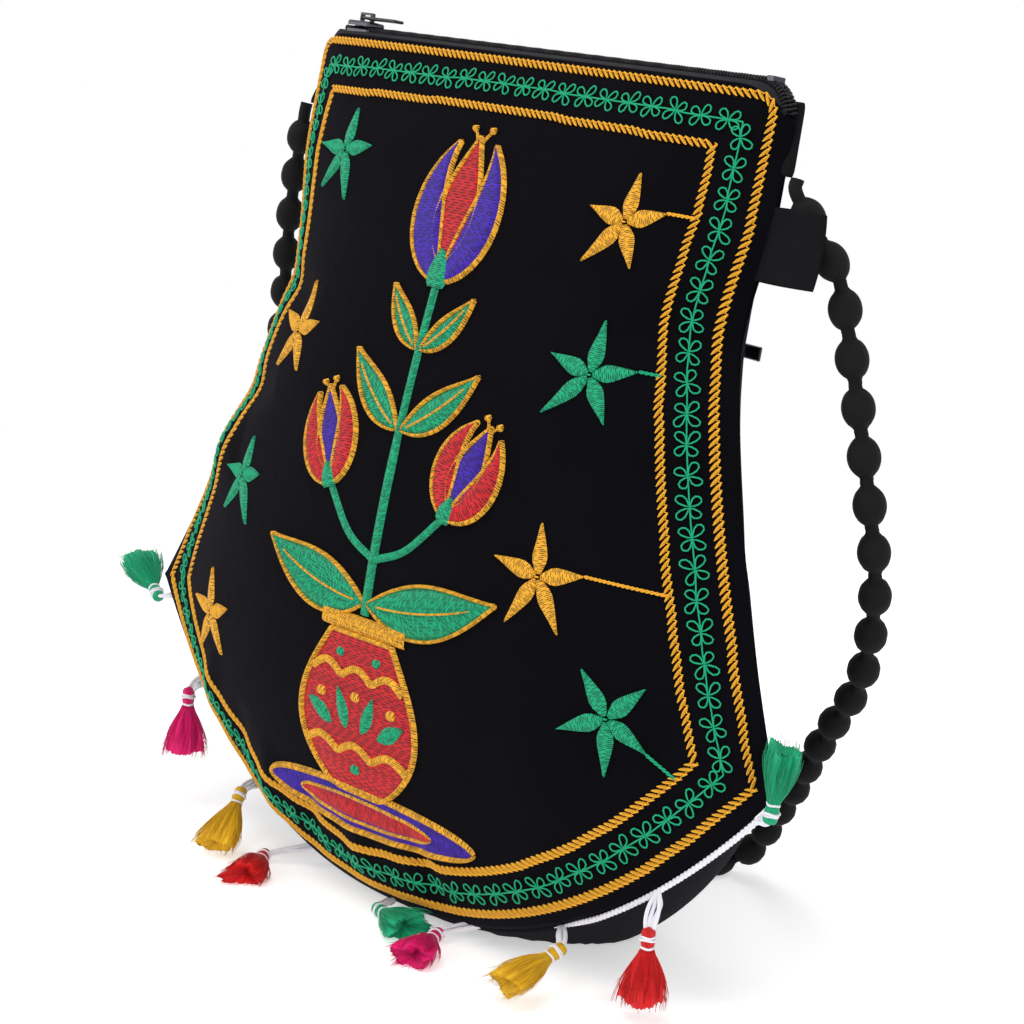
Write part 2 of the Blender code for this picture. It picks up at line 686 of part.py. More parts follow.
def add_pull(name, parent):
    """The pull: an eye round the bail and a tab that lies along +X, with its origin on its pivot."""
    half = PULL_THICKNESS / 2
    body = block((-PULL_BAR / 2, -PULL_HALF_WIDTH, -half), (PULL_LENGTH, PULL_HALF_WIDTH, half))
    pull = add_object(name, mesh_from(body, name), GUNMETAL, parent)
    bevel(pull, 0.0003, 1)
    start = PULL_BAR / 2
    window = add_cutter(f"{name}_window",
                        block((start, -PULL_WINDOW_HALF, -2 * half),
                              (start + PULL_WINDOW_LENGTH, PULL_WINDOW_HALF, 2 * half)), parent)
    boolean(pull, window)
    return pull


def make_top_zip(bag):
    def tape_edge(along):
        return front_depth(along, BAG_HEIGHT - TOP_ZIP_DROP) - 1.3 * VELVET - SEAM_GAP

    names = (("top_zip_front_tape", "top_zip_front_coil"), ("top_zip_back_tape", "top_zip_back_coil"))
    add_zip_rows(names, TOP_ZIP_HALF, top_zip_place, tape_edge, 12, bag)
    add_stop("top_zip_end_stop", TOP_ZIP_HALF, top_zip_place, bag)
    carriage = add_empty("top_slider_place", bag, top_zip_place(TOP_SLIDER_X, 0, 0))
    add_slider("top_zip_slider", carriage, -1)
    pivot = add_empty("top_pull_pivot", carriage, (0, 0, SLIDER_HALF_HEIGHT + PULL_PIVOT_HEIGHT))
    add_pull("top_zip_pull", pivot)


def make_pocket_zip(bag, back_panel):
    def tape_edge(along):
        return POCKET_WINDOW_HALF - SEAM_GAP

    def window(u, v, w):
        along = (2 * u - 1) * (POCKET_ZIP_HALF + STOP_LENGTH + 3 * SEAM_GAP)
        return pocket_zip_place(along, (2 * v - 1) * POCKET_WINDOW_HALF, (2 * w - 1) * 0.006)

    bm = sliced_box(14)
    for vert in bm.verts:
        vert.co = window(*vert.co)
    face_outward(bm)
    boolean(back_panel, add_cutter("pocket_window", bm, bag))
    names = (("pocket_zip_upper_tape", "pocket_zip_upper_coil"),
             ("pocket_zip_lower_tape", "pocket_zip_lower_coil"))
    add_zip_rows(names, POCKET_ZIP_HALF, pocket_zip_place, tape_edge, 14, bag)
    add_stop("pocket_zip_end_stop", -POCKET_ZIP_HALF - STOP_LENGTH - 2 * SEAM_GAP, pocket_zip_place, bag)
    centre = POCKET_ARC_DEPTH - POCKET_ARC_RADIUS
    axis = add_empty("pocket_slider_axis", bag, (0, centre, POCKET_ZIP_HEIGHT))
    carriage = add_empty("pocket_slider_place", axis)
    angle = POCKET_SLIDER_ALONG / POCKET_ARC_RADIUS
    place = pocket_zip_place(POCKET_SLIDER_ALONG, 0, 0) - Vector((0, centre, POCKET_ZIP_HEIGHT))
    carriage.matrix_basis = (Matrix.Translation(place) @ Matrix.Rotation(-angle, 4, "Z")
                             @ Matrix.Rotation(-math.pi / 2, 4, "X"))
    add_slider("pocket_zip_slider", carriage, 1)
    pivot = add_empty("pocket_pull_pivot", carriage, (0, 0, SLIDER_HALF_HEIGHT + PULL_PIVOT_HEIGHT))
    add_pull("pocket_zip_pull", pivot)


def make_strap(bag):
    """The cord and the two tabs that hold its ends at the side seams."""
    add_tube("strap_cord", smooth_route(STRAP_ROUTE, STRAP_POINTS), STRAP_RADIUS, 2, STRAP_BLACK)
    for name, side in (("strap_tab_right", 1), ("strap_tab_left", -1)):
        inner = half_width(TAB_TOP) + SEAM_GAP
        low, high = sorted((side * inner, side * (inner + TAB_WIDTH)))
        half = TAB_THICKNESS / 2
        body = block((low, -half, TAB_TOP - TAB_LENGTH), (high, half, TAB_TOP))
        bevel(add_object(name, mesh_from(body, name), STRAP_BLACK, bag), 0.0008, 1)


def make_label(bag):
    """The folded woven label, which leaves the right seam and has a straight outer edge."""
    outer = half_width(LABEL_LOW + LABEL_TALL / 2) + LABEL_WIDE

    def place(u, v, w):
        z = LABEL_LOW + LABEL_TALL * v
        inner = half_width(z) + SEAM_GAP
        bend = -0.0015 * math.sin(math.pi * u)
        return Vector((inner + (outer - inner) * u, bend + (w - 0.5) * LABEL_THICKNESS, z))

    add_bar("side_label", 4, place, LABEL_BLACK, bag)


def seam_point(share, outward=0.0):
    """A point on the bottom seam at a share of the way from the middle to a corner, moved outward."""
    x = share * CORNER_HALF
    slope = bottom_slope(x)
    length = math.hypot(1, slope)
    return Vector((x + outward * slope / length, 0, bottom_edge(x) - outward / length))


def make_braid(bag):
    points = []
    count = 45
    reach = 1 - BRAID_END / CORNER_HALF
    for k in range(count):
        share = reach * (2 * k / (count - 1) - 1)
        points.append(seam_point(share, BRAID_RADIUS + 1.3 * SEAM_GAP))
    add_tube("seam_braid", points, BRAID_RADIUS, 0, YARN_WHITE, bag)


def tassel_mesh(name):
    """Half a tassel's outline, turned about Z: head, neck and spreading skirt. The skirt ends at +Z."""
    profile = [
        (0.0, 0.0),
        (TASSEL_HEAD_RADIUS, 0.12 * TASSEL_LENGTH),
        (TASSEL_NECK_RADIUS, 0.27 * TASSEL_LENGTH),
        (0.62 * TASSEL_SKIRT_RADIUS, 0.55 * TASSEL_LENGTH),
        (TASSEL_SKIRT_RADIUS, TASSEL_LENGTH),
        (0.0, 0.97 * TASSEL_LENGTH),
    ]
    sides = 8
    bm = bmesh.new()
    verts = [bm.verts.new((radius, 0, height)) for radius, height in profile]
    edges = [bm.edges.new(pair) for pair in zip(verts, verts[1:])]
    bmesh.ops.spin(bm, geom=verts + edges, axis=(0, 0, 1), cent=(0, 0, 0), steps=sides,
                   angle=2 * math.pi, use_merge=True)
    bmesh.ops.remove_doubles(bm, verts=bm.verts, dist=0.00002)
    for vert in bm.verts:
        vert.co.y *= 1 - (1 - TASSEL_FLATNESS) * vert.co.z / TASSEL_LENGTH
    return mesh_from(bm, name)


def make_tassels():
    """Each tassel, and the white yarn from the braid to its head."""
    lean = to_world()
    for number, (name, (share, head_offset, direction)) in enumerate(TASSELS.items(), 1):
        braid = lean @ seam_point(share, BRAID_RADIUS + 1.3 * SEAM_GAP)
        head = braid + Vector(head_offset)
        direction = Vector(direction).normalized()
        colour = TASSEL_COLOURS[name.split("_")[-1]]
        tassel = add_object(name, tassel_mesh(name), colour)
        turn = direction.to_track_quat("Z", "Y")
        tassel.matrix_basis = Matrix.Translation(head) @ turn.to_matrix().to_4x4()
        end = head - direction * 1.3 * SEAM_GAP
        tangent = (lean @ seam_point(share + 0.01) - lean @ seam_point(share - 0.01)).normalized()
        away = (end - braid - tangent * (end - braid).dot(tangent)).normalized()
        start = braid + away * (BRAID_RADIUS + 1.3 * SEAM_GAP)
        path = [start, start + away * 2 * YARN_RADIUS, end - direction * 2 * YARN_RADIUS, end]
        add_tube(f"yarn_loop_{number}", path, YARN_RADIUS, 0, YARN_WHITE)


def inset(x, z, inward, distance):
    """The point at a distance along the cloth from a seam point, going straight inward."""
    step = 0.0005
    travelled = 0
    place = front_surface(x, z)
    while travelled < distance:
        x += inward[0] * step
        z += inward[1] * step
        following = front_surface(x, z)
        travelled += (following - place).length
        place = following
    return Vector((x, z))


def inset_lines(distance):
    """Lines at one distance from the right seam, the top hem and the bottom seam."""
    count = 24
    side = []
    top = []
    bottom = []
    for k in range(count + 1):
        share = k / count
        z = CORNER_HEIGHT + (BAG_HEIGHT - CORNER_HEIGHT) * share
        low = max(z - 0.001, CORNER_HEIGHT)
        slope = (half_width(z + 0.001) - half_width(low)) / (z + 0.001 - low)
        length = math.hypot(1, slope)
        side.append(inset(half_width(z), z, (-1 / length, slope / length), distance))
        top.append(inset(TOP_HALF * (2 * share - 1), BAG_HEIGHT, (0, -1), distance))
        x = CORNER_HALF * (2 * share - 1)
        slope = bottom_slope(x)
        length = math.hypot(1, slope)
        bottom.append(inset(x, bottom_edge(x), (-slope / length, 1 / length), distance))
    return side, top, bottom


def crossing(first, second):
    """Where two lines of points cross, with the index before the crossing in each."""
    for i in range(len(first) - 1):
        for j in range(len(second) - 1):
            point = intersect_line_line_2d(first[i], first[i + 1], second[j], second[j + 1])
            if point is not None:
                return i, j, point
    raise ValueError("the border lines don't meet")


def border_legs(distance):
    """The border at one distance from the seam, as its right, top, left and bottom legs in turn."""
    side, top, bottom = inset_lines(distance)
    i, _, upper = crossing(side, top)
    j, _, lower = crossing(side, bottom)
    right = [lower] + side[j + 1:i + 1] + [upper]
    left = [Vector((-p.x, p.y)) for p in reversed(right)]
    across = [left[0]] + [p for p in top if abs(p.x) < upper.x] + [upper]
    under = [left[-1]] + [p for p in bottom if abs(p.x) < lower.x] + [lower]
    return right, list(reversed(across)), left, under


def laid_on(cloth, points, triangles):
    """Flat points in x and z, brought THREAD_LIFT in front of the cloth's own facets.

    Where a triangle between them would dip closer to the cloth than that, its corners come forward.
    """
    toward = Vector((0, 1, 0))

    def cloth_depth(x, z):
        hit, _, _, _ = cloth.ray_cast(Vector((x, -1, z)), toward)
        return hit.y

    depths = [cloth_depth(p[0], p[1]) - THREAD_LIFT for p in points]
    steps = 4
    for corners in triangles:
        for i in range(steps + 1):
            for j in range(steps + 1 - i):
                shares = (i / steps, j / steps, (steps - i - j) / steps)
                x, z, y = (sum(s * part for s, part in zip(shares, parts)) for parts in (
                    [points[c][0] for c in corners],
                    [points[c][1] for c in corners],
                    [depths[c] for c in corners]))
                short = y + THREAD_LIFT - cloth_depth(x, z)
                if short > 0:
                    for c in corners:
                        depths[c] -= short
    return [Vector((p[0], depth, p[1])) for p, depth in zip(points, depths)]


def add_ribbon(name, points, half_widths, recipe, parent, cloth):
    """A closed raised line of thread: a low ridge along points on the front panel."""
    count = len(points)
    edges = []
    for k, point in enumerate(points):
        before = (point - points[k - 1]).normalized()
        after = (points[(k + 1) % count] - point).normalized()
        forward = (before + after).normalized()
        across = Vector((-forward.y, forward.x)) * half_widths[k] / max(forward.dot(after), 0.5)
        edges += [point + across, point - across]
    triangles = []
    for k in range(count):
        a, b = 2 * k, 2 * ((k + 1) % count)
        triangles += [(a, a + 1, b + 1), (a, b + 1, b)]
    feet = laid_on(cloth, edges, triangles)
    bm = bmesh.new()
    rings = []
    for k in range(count):
        left, right = feet[2 * k], feet[2 * k + 1]
        crest = (left + right) / 2
        crest.y = min(left.y, right.y) - THREAD_HEIGHT
        rings.append([bm.verts.new(p) for p in (left, crest, right)])
    for k in range(count):
        here, there = rings[k], rings[(k + 1) % count]
        for a in range(2):
            bm.faces.new((here[a], here[a + 1], there[a + 1], there[a]))
        bm.faces.new((here[2], here[0], there[2]))
        bm.faces.new((here[0], there[0], there[2]))
    return add_object(name, mesh_from(bm, name), recipe, parent)


def make_border(bag, cloth):
    for name, distance in (("outer_gold_line", OUTER_LINE_INSET), ("inner_gold_line", INNER_LINE_INSET)):
        points = []
        for leg in border_legs(distance):
            length = sum((b - a).length for a, b in zip(leg, leg[1:]))
            points += spaced(leg, max(round(length / 0.0125), 2))[:-1]
        add_ribbon(name, points, [LINE_HALF_WIDTH] * len(points), GOLD_THREAD, bag, cloth)
    points = []
    widths = []
    for leg in border_legs((OUTER_LINE_INSET + INNER_LINE_INSET) / 2):
        length = sum((front_surface(*b) - front_surface(*a)).length for a, b in zip(leg, leg[1:]))
        flowers = round(length / FLOWER_PITCH)
        points += spaced(leg, 2 * flowers + 1)[:-1]
        widths += [THREAD_HALF_WIDTH, FLOWER_HALF_WIDTH] * flowers
    add_ribbon("flower_chain", points, widths, GREEN_THREAD, bag, cloth)


def add_field(name, outlines, recipe, parent, cloth):
    """One raised field of thread, the union of flat outlines in x and z, laid on the front panel."""
    corners = [Vector(p) for outline in outlines for p in outline]
    faces = []
    start = 0
    for outline in outlines:
        faces.append(list(range(start, start + len(outline))))
        start += len(outline)
    lows = [min(p[k] for p in corners) for k in (0, 1)]
    highs = [max(p[k] for p in corners) for k in (0, 1)]
    columns, rows = (int((high - low) / FIELD_STEP) for low, high in zip(lows, highs))
    for column in range(1, columns + 1):
        for row in range(1, rows + 1):
            corners.append(Vector((lows[0] + FIELD_STEP * (column - 0.5), lows[1] + FIELD_STEP * (row - 0.5))))
    verts, _, triangles, _, _, _ = delaunay_2d_cdt(corners, [], faces, 1, 0.0003)
    mesh = bpy.data.meshes.new(name)
    mesh.from_pydata(laid_on(cloth, verts, triangles), [], triangles)
    bm = bmesh.new()
    bm.from_mesh(mesh)
    loose = [v for v in bm.verts if not v.link_faces]
    bmesh.ops.delete(bm, geom=loose, context="VERTS")
    bm.to_mesh(mesh)
    bm.free()
    made = add_object(name, mesh, recipe, parent)
    modifier = made.modifiers.new("thread", "SOLIDIFY")
    modifier.thickness = THREAD_HEIGHT
    modifier.offset = 1
    return made


def star_outline(x, z, turn):
    points = []
    for k in range(10):
        radius = STAR_NOTCH if k % 2 else STAR_RADIUS
        angle = math.radians(turn + 36 * k)
        points.append((x + radius * math.cos(angle), z + radius * math.sin(angle)))
    return points


def strip(points, half_width_at_start, half_width_at_end):
    """An outline along a bent line, with a width that changes evenly."""
    points = [Vector(p) for p in points]
    left = []
    right = []
    for k, point in enumerate(points):
        forward = (points[min(k + 1, len(points) - 1)] - points[max(k - 1, 0)]).normalized()
        share = k / (len(points) - 1)
        width = half_width_at_start + (half_width_at_end - half_width_at_start) * share
        across = Vector((-forward.y, forward.x)) * width
        left.append(tuple(point + across))
        right.append(tuple(point - across))
    return right + left[::-1]


def leaf(x, z, angle, length, width, fullness=1.0, points=5):
    """A pointed outline from (x, z) along an angle in degrees. A low fullness moves its belly up."""
    turn = math.radians(angle)
    along = Vector((math.cos(turn), math.sin(turn)))
    across = Vector((-along.y, along.x))
    base = Vector((x, z))
    right = []
    left = []
    for k in range(1, points):
        share = k / points
        half = width / 2 * math.sin(math.pi * share ** fullness)
        right.append(tuple(base + along * length * share - across * half))
        left.append(tuple(base + along * length * share + across * half))
    tip = tuple(base + along * length)
    return [(x, z)] + right + [tip] + left[::-1]


def make_stars(bag, cloth):
    """The stars, with the thread tails that run on from an arm nearly to the inner gold line."""
    border = [p for leg in border_legs(INNER_LINE_INSET) for p in leg]
    for name, (side, from_seam, height, reference, turn, tail) in STARS.items():
        z = BAG_HEIGHT - height if reference == "below hem" else height
        x = side * (half_width(z) - from_seam)
        outlines = [star_outline(x, z, turn)]
        if tail:
            along = Vector((math.cos(math.radians(turn)), math.sin(math.radians(turn))))
            start = Vector((x, z)) + along * 0.9 * STAR_RADIUS
            if turn > 0:
                along = Vector((1, 0))
            meets = [intersect_line_line_2d(start, start + along, a, b) for a, b in zip(border, border[1:])]
            run = min((p - start).length for p in meets if p is not None) - 2 * LINE_HALF_WIDTH
            if run > 0:
                tip = start + along * run
                outlines.append(strip([start, tip], THREAD_HALF_WIDTH, THREAD_HALF_WIDTH))
        add_field(name, outlines, GREEN_THREAD if name in GREEN_STARS else GOLD_THREAD, bag, cloth)


def make_motif(bag, cloth):
    """A folk flower spray: a vase on a mat, a stem with leaves, and three tulips."""
    mat_high = MAT_LOW + MAT_TALL
    mat = []
    for k in range(16):
        angle = 2 * math.pi * k / 16
        mat.append((MAT_HALF * math.cos(angle), MAT_LOW + MAT_TALL / 2 * (1 + math.sin(angle))))
    add_field("motif_mat", [mat], PURPLE_THREAD, bag, cloth)

    vase_low = mat_high + FIELD_GAP
    right = []
    for k in range(7):
        share = k / 6
        half = VASE_FOOT_HALF + VASE_BELLY * math.sin(math.pi * share ** 0.8) + VASE_SPREAD * share
        right.append((half, vase_low + VASE_TALL * share))
    add_field("motif_vase", [right + [(-x, z) for x, z in reversed(right)]], RED_THREAD, bag, cloth)

    rim_low = vase_low + VASE_TALL + FIELD_GAP
    rim_high = rim_low + RIM_TALL
    rim_top = RIM_HALF + RIM_FLARE
    rim = [(-RIM_HALF, rim_low), (RIM_HALF, rim_low), (rim_top, rim_high), (-rim_top, rim_high)]
    add_field("motif_vase_rim", [rim], GOLD_THREAD, bag, cloth)

    stem_low, stem_high = rim_high + FIELD_GAP, BAG_HEIGHT - STEM_TOP_DROP
    stem = stem_high - stem_low
    outlines = [strip([(0, stem_low), (0, stem_high)], STEM_FOOT_HALF, STEM_TIP_HALF)]
    for side in (-1, 1):
        branch = [(side * BRANCH_REACH * part, stem_low + stem * share)
                  for part, share in zip((0, 0.52, 1), BRANCH_SHARES)]
        outlines.append(strip(branch, BRANCH_FOOT_HALF, BRANCH_TIP_HALF))
        for share, angle, length in LEAVES:
            low = stem_low + stem * share
            outlines.append(leaf(0, low, 90 - side * (90 - angle), length, LEAF_FATNESS * length))
    add_field("motif_stem", outlines, GREEN_THREAD, bag, cloth)

    tulip = leaf(0, stem_high + FIELD_GAP, 90, TOP_TULIP_LENGTH, TOP_TULIP_WIDTH, TULIP_FULLNESS, 7)
    add_field("motif_top_tulip", [tulip], PURPLE_THREAD, bag, cloth)
    for name, side in (("motif_left_tulip", -1), ("motif_right_tulip", 1)):
        x = side * (BRANCH_REACH + 1.5 * FIELD_GAP)
        z = stem_low + stem * BRANCH_SHARES[-1] + 2.5 * FIELD_GAP
        tulip = leaf(x, z, 90 - side * SIDE_TULIP_LEAN, SIDE_TULIP_LENGTH, SIDE_TULIP_WIDTH, TULIP_FULLNESS, 7)
        add_field(name, [tulip], RED_THREAD, bag, cloth)


def clear_scene():
    for item in list(bpy.data.objects):
        bpy.data.objects.remove(item)


def main():
    clear_scene()
    for name in ("shoulder_bag", "cutters"):
        bpy.context.scene.collection.children.link(bpy.data.collections.new(name))
    bag = add_empty("bag_frame", None)
    bag.matrix_basis = to_world()
    front_panel, back_panel = make_panels(bag)
    cloth = BVHTree.FromPolygons([v.co for v in front_panel.data.vertices],
                                 [f.vertices for f in front_panel.data.polygons], all_triangles=True)
    make_pouch(bag)
    make_top_zip(bag)
    make_pocket_zip(bag, back_panel)
    make_strap(bag)
    make_label(bag)
    make_braid(bag)
    make_tassels()
    make_border(bag, cloth)
    make_stars(bag, cloth)
    make_motif(bag, cloth)
    bpy.context.view_layer.update()


main()
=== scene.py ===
"""A black velvet shoulder bag with thread embroidery, a beaded strap and tassels, on a pale floor.

The bag was cut flat, embroidered, sewn round its edge, stuffed and stood up leaning back. Its own frame
runs across (x), up the cloth (z) and from front to back (y), as the CAD model has it.
"""
import math
import random

import bmesh
import bpy
from mathutils import Matrix, Vector


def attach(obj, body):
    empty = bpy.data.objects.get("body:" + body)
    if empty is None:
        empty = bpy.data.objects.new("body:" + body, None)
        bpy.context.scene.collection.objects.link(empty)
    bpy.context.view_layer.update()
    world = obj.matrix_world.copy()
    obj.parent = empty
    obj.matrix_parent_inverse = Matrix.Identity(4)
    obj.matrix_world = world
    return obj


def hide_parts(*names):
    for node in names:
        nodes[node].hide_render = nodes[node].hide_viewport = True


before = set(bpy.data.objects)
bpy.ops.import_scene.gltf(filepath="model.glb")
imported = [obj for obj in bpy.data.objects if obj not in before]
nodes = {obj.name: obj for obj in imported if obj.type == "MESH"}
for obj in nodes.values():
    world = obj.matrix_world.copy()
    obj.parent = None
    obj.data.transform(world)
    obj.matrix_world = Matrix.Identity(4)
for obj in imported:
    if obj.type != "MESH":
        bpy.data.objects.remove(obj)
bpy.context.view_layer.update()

# The camera stands to the right of the bag and a little above it, as far off as for a small product shot.
CAMERA_PLACE = (0.6888, -0.5874, 0.3785)
CAMERA_TURN = math.radians(48.35)
CAMERA_PITCH = math.radians(15.31)
CAMERA_LENS = 102.2

camera_data = bpy.data.cameras.new("camera")
camera_data.lens = CAMERA_LENS
camera_data.sensor_width = 36
camera = bpy.data.objects.new("camera", camera_data)
camera.location = CAMERA_PLACE
camera.rotation_euler = (math.pi / 2 - CAMERA_PITCH, 0, CAMERA_TURN)
bpy.context.scene.collection.objects.link(camera)
bpy.context.scene.camera = camera


# The strap is one narrow tube of black cloth over a row of oval beads, tied in by the pinch between them.
# It is sewn to a tab at each side seam, hangs behind the bag and lies on the floor in one slack loop.
class Channel:
    """One number of a surface, so that a pattern reads as a sum."""

    def __init__(self, finish, socket):
        self.finish = finish
        self.socket = socket

    def _with(self, operation, *values):
        numbers = [v.socket if isinstance(v, Channel) else v for v in values]
        return self.finish.node("ShaderNodeMath", {"operation": operation}, dict(enumerate(numbers)))

    def __add__(self, other):
        return self._with("ADD", self, other)

    def __radd__(self, other):
        return self._with("ADD", other, self)

    def __sub__(self, other):
        return self._with("SUBTRACT", self, other)

    def __rsub__(self, other):
        return self._with("SUBTRACT", other, self)

    def __mul__(self, other):
        return self._with("MULTIPLY", self, other)

    def __rmul__(self, other):
        return self._with("MULTIPLY", other, self)

    def of(self, operation, *others):
        return self._with(operation, self, *others)


class Finish:
    """A material under construction: one surface shader and the nodes that colour and roughen it."""

    def __init__(self, name, colour, roughness, metallic=0.0, sheen=0.0, slot=None):
        self.slot = slot or name
        self.material = bpy.data.materials.new(name)
        self.material.use_nodes = True
        self.nodes = self.material.node_tree.nodes
        self.links = self.material.node_tree.links
        self.shader = self.nodes["Principled BSDF"]
        self.set("Base Color", (*colour, 1))
        self.set("Roughness", roughness)
        self.set("Metallic", metallic)
        self.set("Sheen Weight", sheen)
        self.set("Specular IOR Level", 0.5 if metallic else 0.12)
        self.set("Sheen Roughness", 0.35)

    def set(self, name, value):
        socket = self.shader.inputs[name]
        if isinstance(value, (Channel, bpy.types.NodeSocket)):
            self.links.new(getattr(value, "socket", value), socket)
        else:
            socket.default_value = value

    def node(self, kind, settings, values, output=0):
        made = self.nodes.new(kind)
        for name, value in settings.items():
            setattr(made, name, value)
        for name, value in values.items():
            value = getattr(value, "socket", value)
            if isinstance(value, bpy.types.NodeSocket):
                self.links.new(value, made.inputs[name])
            else:
                made.inputs[name].default_value = value
        return Channel(self, made.outputs[output])

    def place(self, output="Object"):
        return self.node("ShaderNodeTexCoord", {}, {}, output)

    def noise(self, scale, detail=2.0, place=None):
        values = {"Vector": place or self.place(), "Scale": scale, "Detail": detail}
        return self.node("ShaderNodeTexNoise", {}, values)

    def tint(self, share, low, high):
        """A colour between two, by a number from 0 to 1."""
        values = {0: share, 6: (*low, 1), 7: (*high, 1)}
        return self.node("ShaderNodeMix", {"data_type": "RGBA"}, values, 2)

    def bump(self, height, depth, strength=1.0):
        values = {"Height": height, "Distance": depth, "Strength": strength}
        self.set("Normal", self.node("ShaderNodeBump", {}, values))

    def around(self, colour, change, scale):
        """The base colour, drifting lighter and darker over the piece."""
        low = [c * (1 - change) for c in colour]
        high = [min(c * (1 + change), 1) for c in colour]
        self.set("Base Color", self.tint(self.noise(scale), low, high))

    def uv_numbers(self):
        """The two numbers of the piece's UV map."""
        return [self.node("ShaderNodeSeparateXYZ", {}, {"Vector": self.place("UV")}, k) for k in (0, 1)]

    def weave(self, pitch):
        """Height of a plain weave whose UV map is in metres."""
        across, down = self.uv_numbers()
        return (across * (math.tau / pitch)).of("SINE") * (down * (math.tau / pitch)).of("SINE")

    def each_strand(self, number):
        """A random number from 0 to 1 for each strand that number counts."""
        return self.node("ShaderNodeTexWhiteNoise", {"noise_dimensions": "1D"}, {"W": number.of("FLOOR")})


def dress(names, finish):
    """CAD pieces that keep their shape take a finish."""
    for name in names:
        materials = nodes[name].data.materials
        materials.clear()
        materials.append(finish.material)


def into_scene(name, mesh, finish):
    mesh.materials.clear()
    mesh.materials.append(finish.material)
    mesh.shade_smooth()
    made = bpy.data.objects.new(name, mesh)
    bpy.context.scene.collection.objects.link(made)
    return made


def on_bag(piece, slot, *replaced):
    """The piece moves with the bag's own body and stands for CAD pieces, which are hidden. slot is not used.
    """
    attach(piece, "bag")
    for node in replaced:
        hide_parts(node)


def mesh_of(bm, name):
    mesh = bpy.data.meshes.new(name)
    bm.to_mesh(mesh)
    bm.free()
    return mesh


def cords(name, paths, radius, finish, closed=False, sides=1, radii=None):
    """Round threads, one along each path, as one mesh. radii scales each point of a path."""
    curve = bpy.data.curves.new(name, "CURVE")
    curve.dimensions = "3D"
    curve.bevel_depth = radius
    curve.bevel_resolution = sides
    curve.use_fill_caps = True
    for path in paths:
        spline = curve.splines.new("POLY")
        spline.use_cyclic_u = closed
        spline.points.add(len(path) - 1)
        for k, point in enumerate(path):
            spline.points[k].co = (*point, 1)
            if radii:
                spline.points[k].radius = radii[k]
    holder = bpy.data.objects.new(name, curve)
    mesh = bpy.data.meshes.new_from_object(holder)
    bpy.data.objects.remove(holder)
    bpy.data.curves.remove(curve)
    return into_scene(name, mesh, finish)


def spaced(points, count):
    """The same path with count points at even steps."""
    lengths = [0]
    for a, b in zip(points, points[1:]):
        lengths.append(lengths[-1] + (b - a).length)
    result = []
    k = 0
    for i in range(count):
        target = lengths[-1] * i / (count - 1)
        while k < len(points) - 2 and lengths[k + 1] < target:
            k += 1
        share = (target - lengths[k]) / max(lengths[k + 1] - lengths[k], 1e-9)
        result.append(points[k].lerp(points[k + 1], min(share, 1)))
    return result


def curved(route, steps=20):
    """A smooth curve through the points of a route."""
    route = [Vector(p) for p in route]
    ends = [route[0] * 2 - route[1]] + route + [route[-1] * 2 - route[-2]]
    fine = []
    for before, start, end, after in zip(ends, ends[1:], ends[2:], ends[3:]):
        for k in range(steps):
            t = k / steps
            fine.append(0.5 * (2 * start + (end - before) * t
                               + (2 * before - 5 * start + 4 * end - after) * t ** 2
                               + (3 * start - before - 3 * end + after) * t ** 3))
    fine.append(route[-1])
    return fine


def length_of(path):
    return sum((b - a).length for a, b in zip(path, path[1:]))


def toward(angle):
    """The flat direction at an angle in degrees."""
    return Vector((math.cos(math.radians(angle)), math.sin(math.radians(angle))))


STRAP_ROUTE = [
    (0.1162, 0.0330, 0.2487), (0.1165, 0.0321, 0.2450), (0.1200, 0.0360, 0.2350),
    (0.1270, 0.0400, 0.2200), (0.1310, 0.0400, 0.2060), (0.1355, 0.0400, 0.1860),
    (0.1390, 0.0405, 0.1660), (0.1415, 0.0415, 0.1480), (0.1415, 0.0440, 0.1300),
    (0.1370, 0.0480, 0.1120), (0.1285, 0.0530, 0.0930), (0.1143, 0.0580, 0.0750),
    (0.1001, 0.0640, 0.0580), (0.0870, 0.0700, 0.0420), (0.0740, 0.0750, 0.0270),
    (0.0620, 0.0790, 0.0130), (0.0520, 0.0780, 0.0056), (0.0475, 0.0710, 0.0048),
    (0.0470, 0.0620, 0.0048), (0.0410, 0.0540, 0.0048), (0.0180, 0.0500, 0.0048),
    (-0.0080, 0.0520, 0.0048), (-0.0320, 0.0580, 0.0048), (-0.0500, 0.0720, 0.0048),
    (-0.0540, 0.0910, 0.0048), (-0.0460, 0.1120, 0.0048), (-0.0480, 0.1350, 0.0048),
    (-0.0660, 0.1520, 0.0048), (-0.0920, 0.1520, 0.0048), (-0.1120, 0.1350, 0.0048),
    (-0.1230, 0.1120, 0.0050), (-0.1310, 0.0960, 0.0120), (-0.1390, 0.0800, 0.0300),
    (-0.1450, 0.0660, 0.0560), (-0.1475, 0.0550, 0.0830), (-0.1470, 0.0460, 0.1100),
    (-0.1430, 0.0390, 0.1360), (-0.1375, 0.0350, 0.1580), (-0.1330, 0.0335, 0.1720),
    (-0.1300, 0.0325, 0.1850), (-0.1270, 0.0320, 0.2010), (-0.1245, 0.0320, 0.2140),
    (-0.1215, 0.0325, 0.2280), (-0.1180, 0.0320, 0.2380), (-0.1165, 0.0321, 0.2450),
    (-0.1162, 0.0330, 0.2487),
]
BEAD_RADIUS = 0.0047
BEAD_HALF_LENGTH = 0.0058
BEAD_PITCH = 0.0146
STRAP_NECK = 0.0020
STRAP_LEAD = 0.0050
STRAP_STEP = 0.0008
PLEATS = 7
PLEAT_TWIST = 3
PLEAT_DEPTH = 0.16
PLEAT_START = 0.45
ON_FLOOR = 0.0001
STRAP_BLACK = (0.006, 0.006, 0.007)

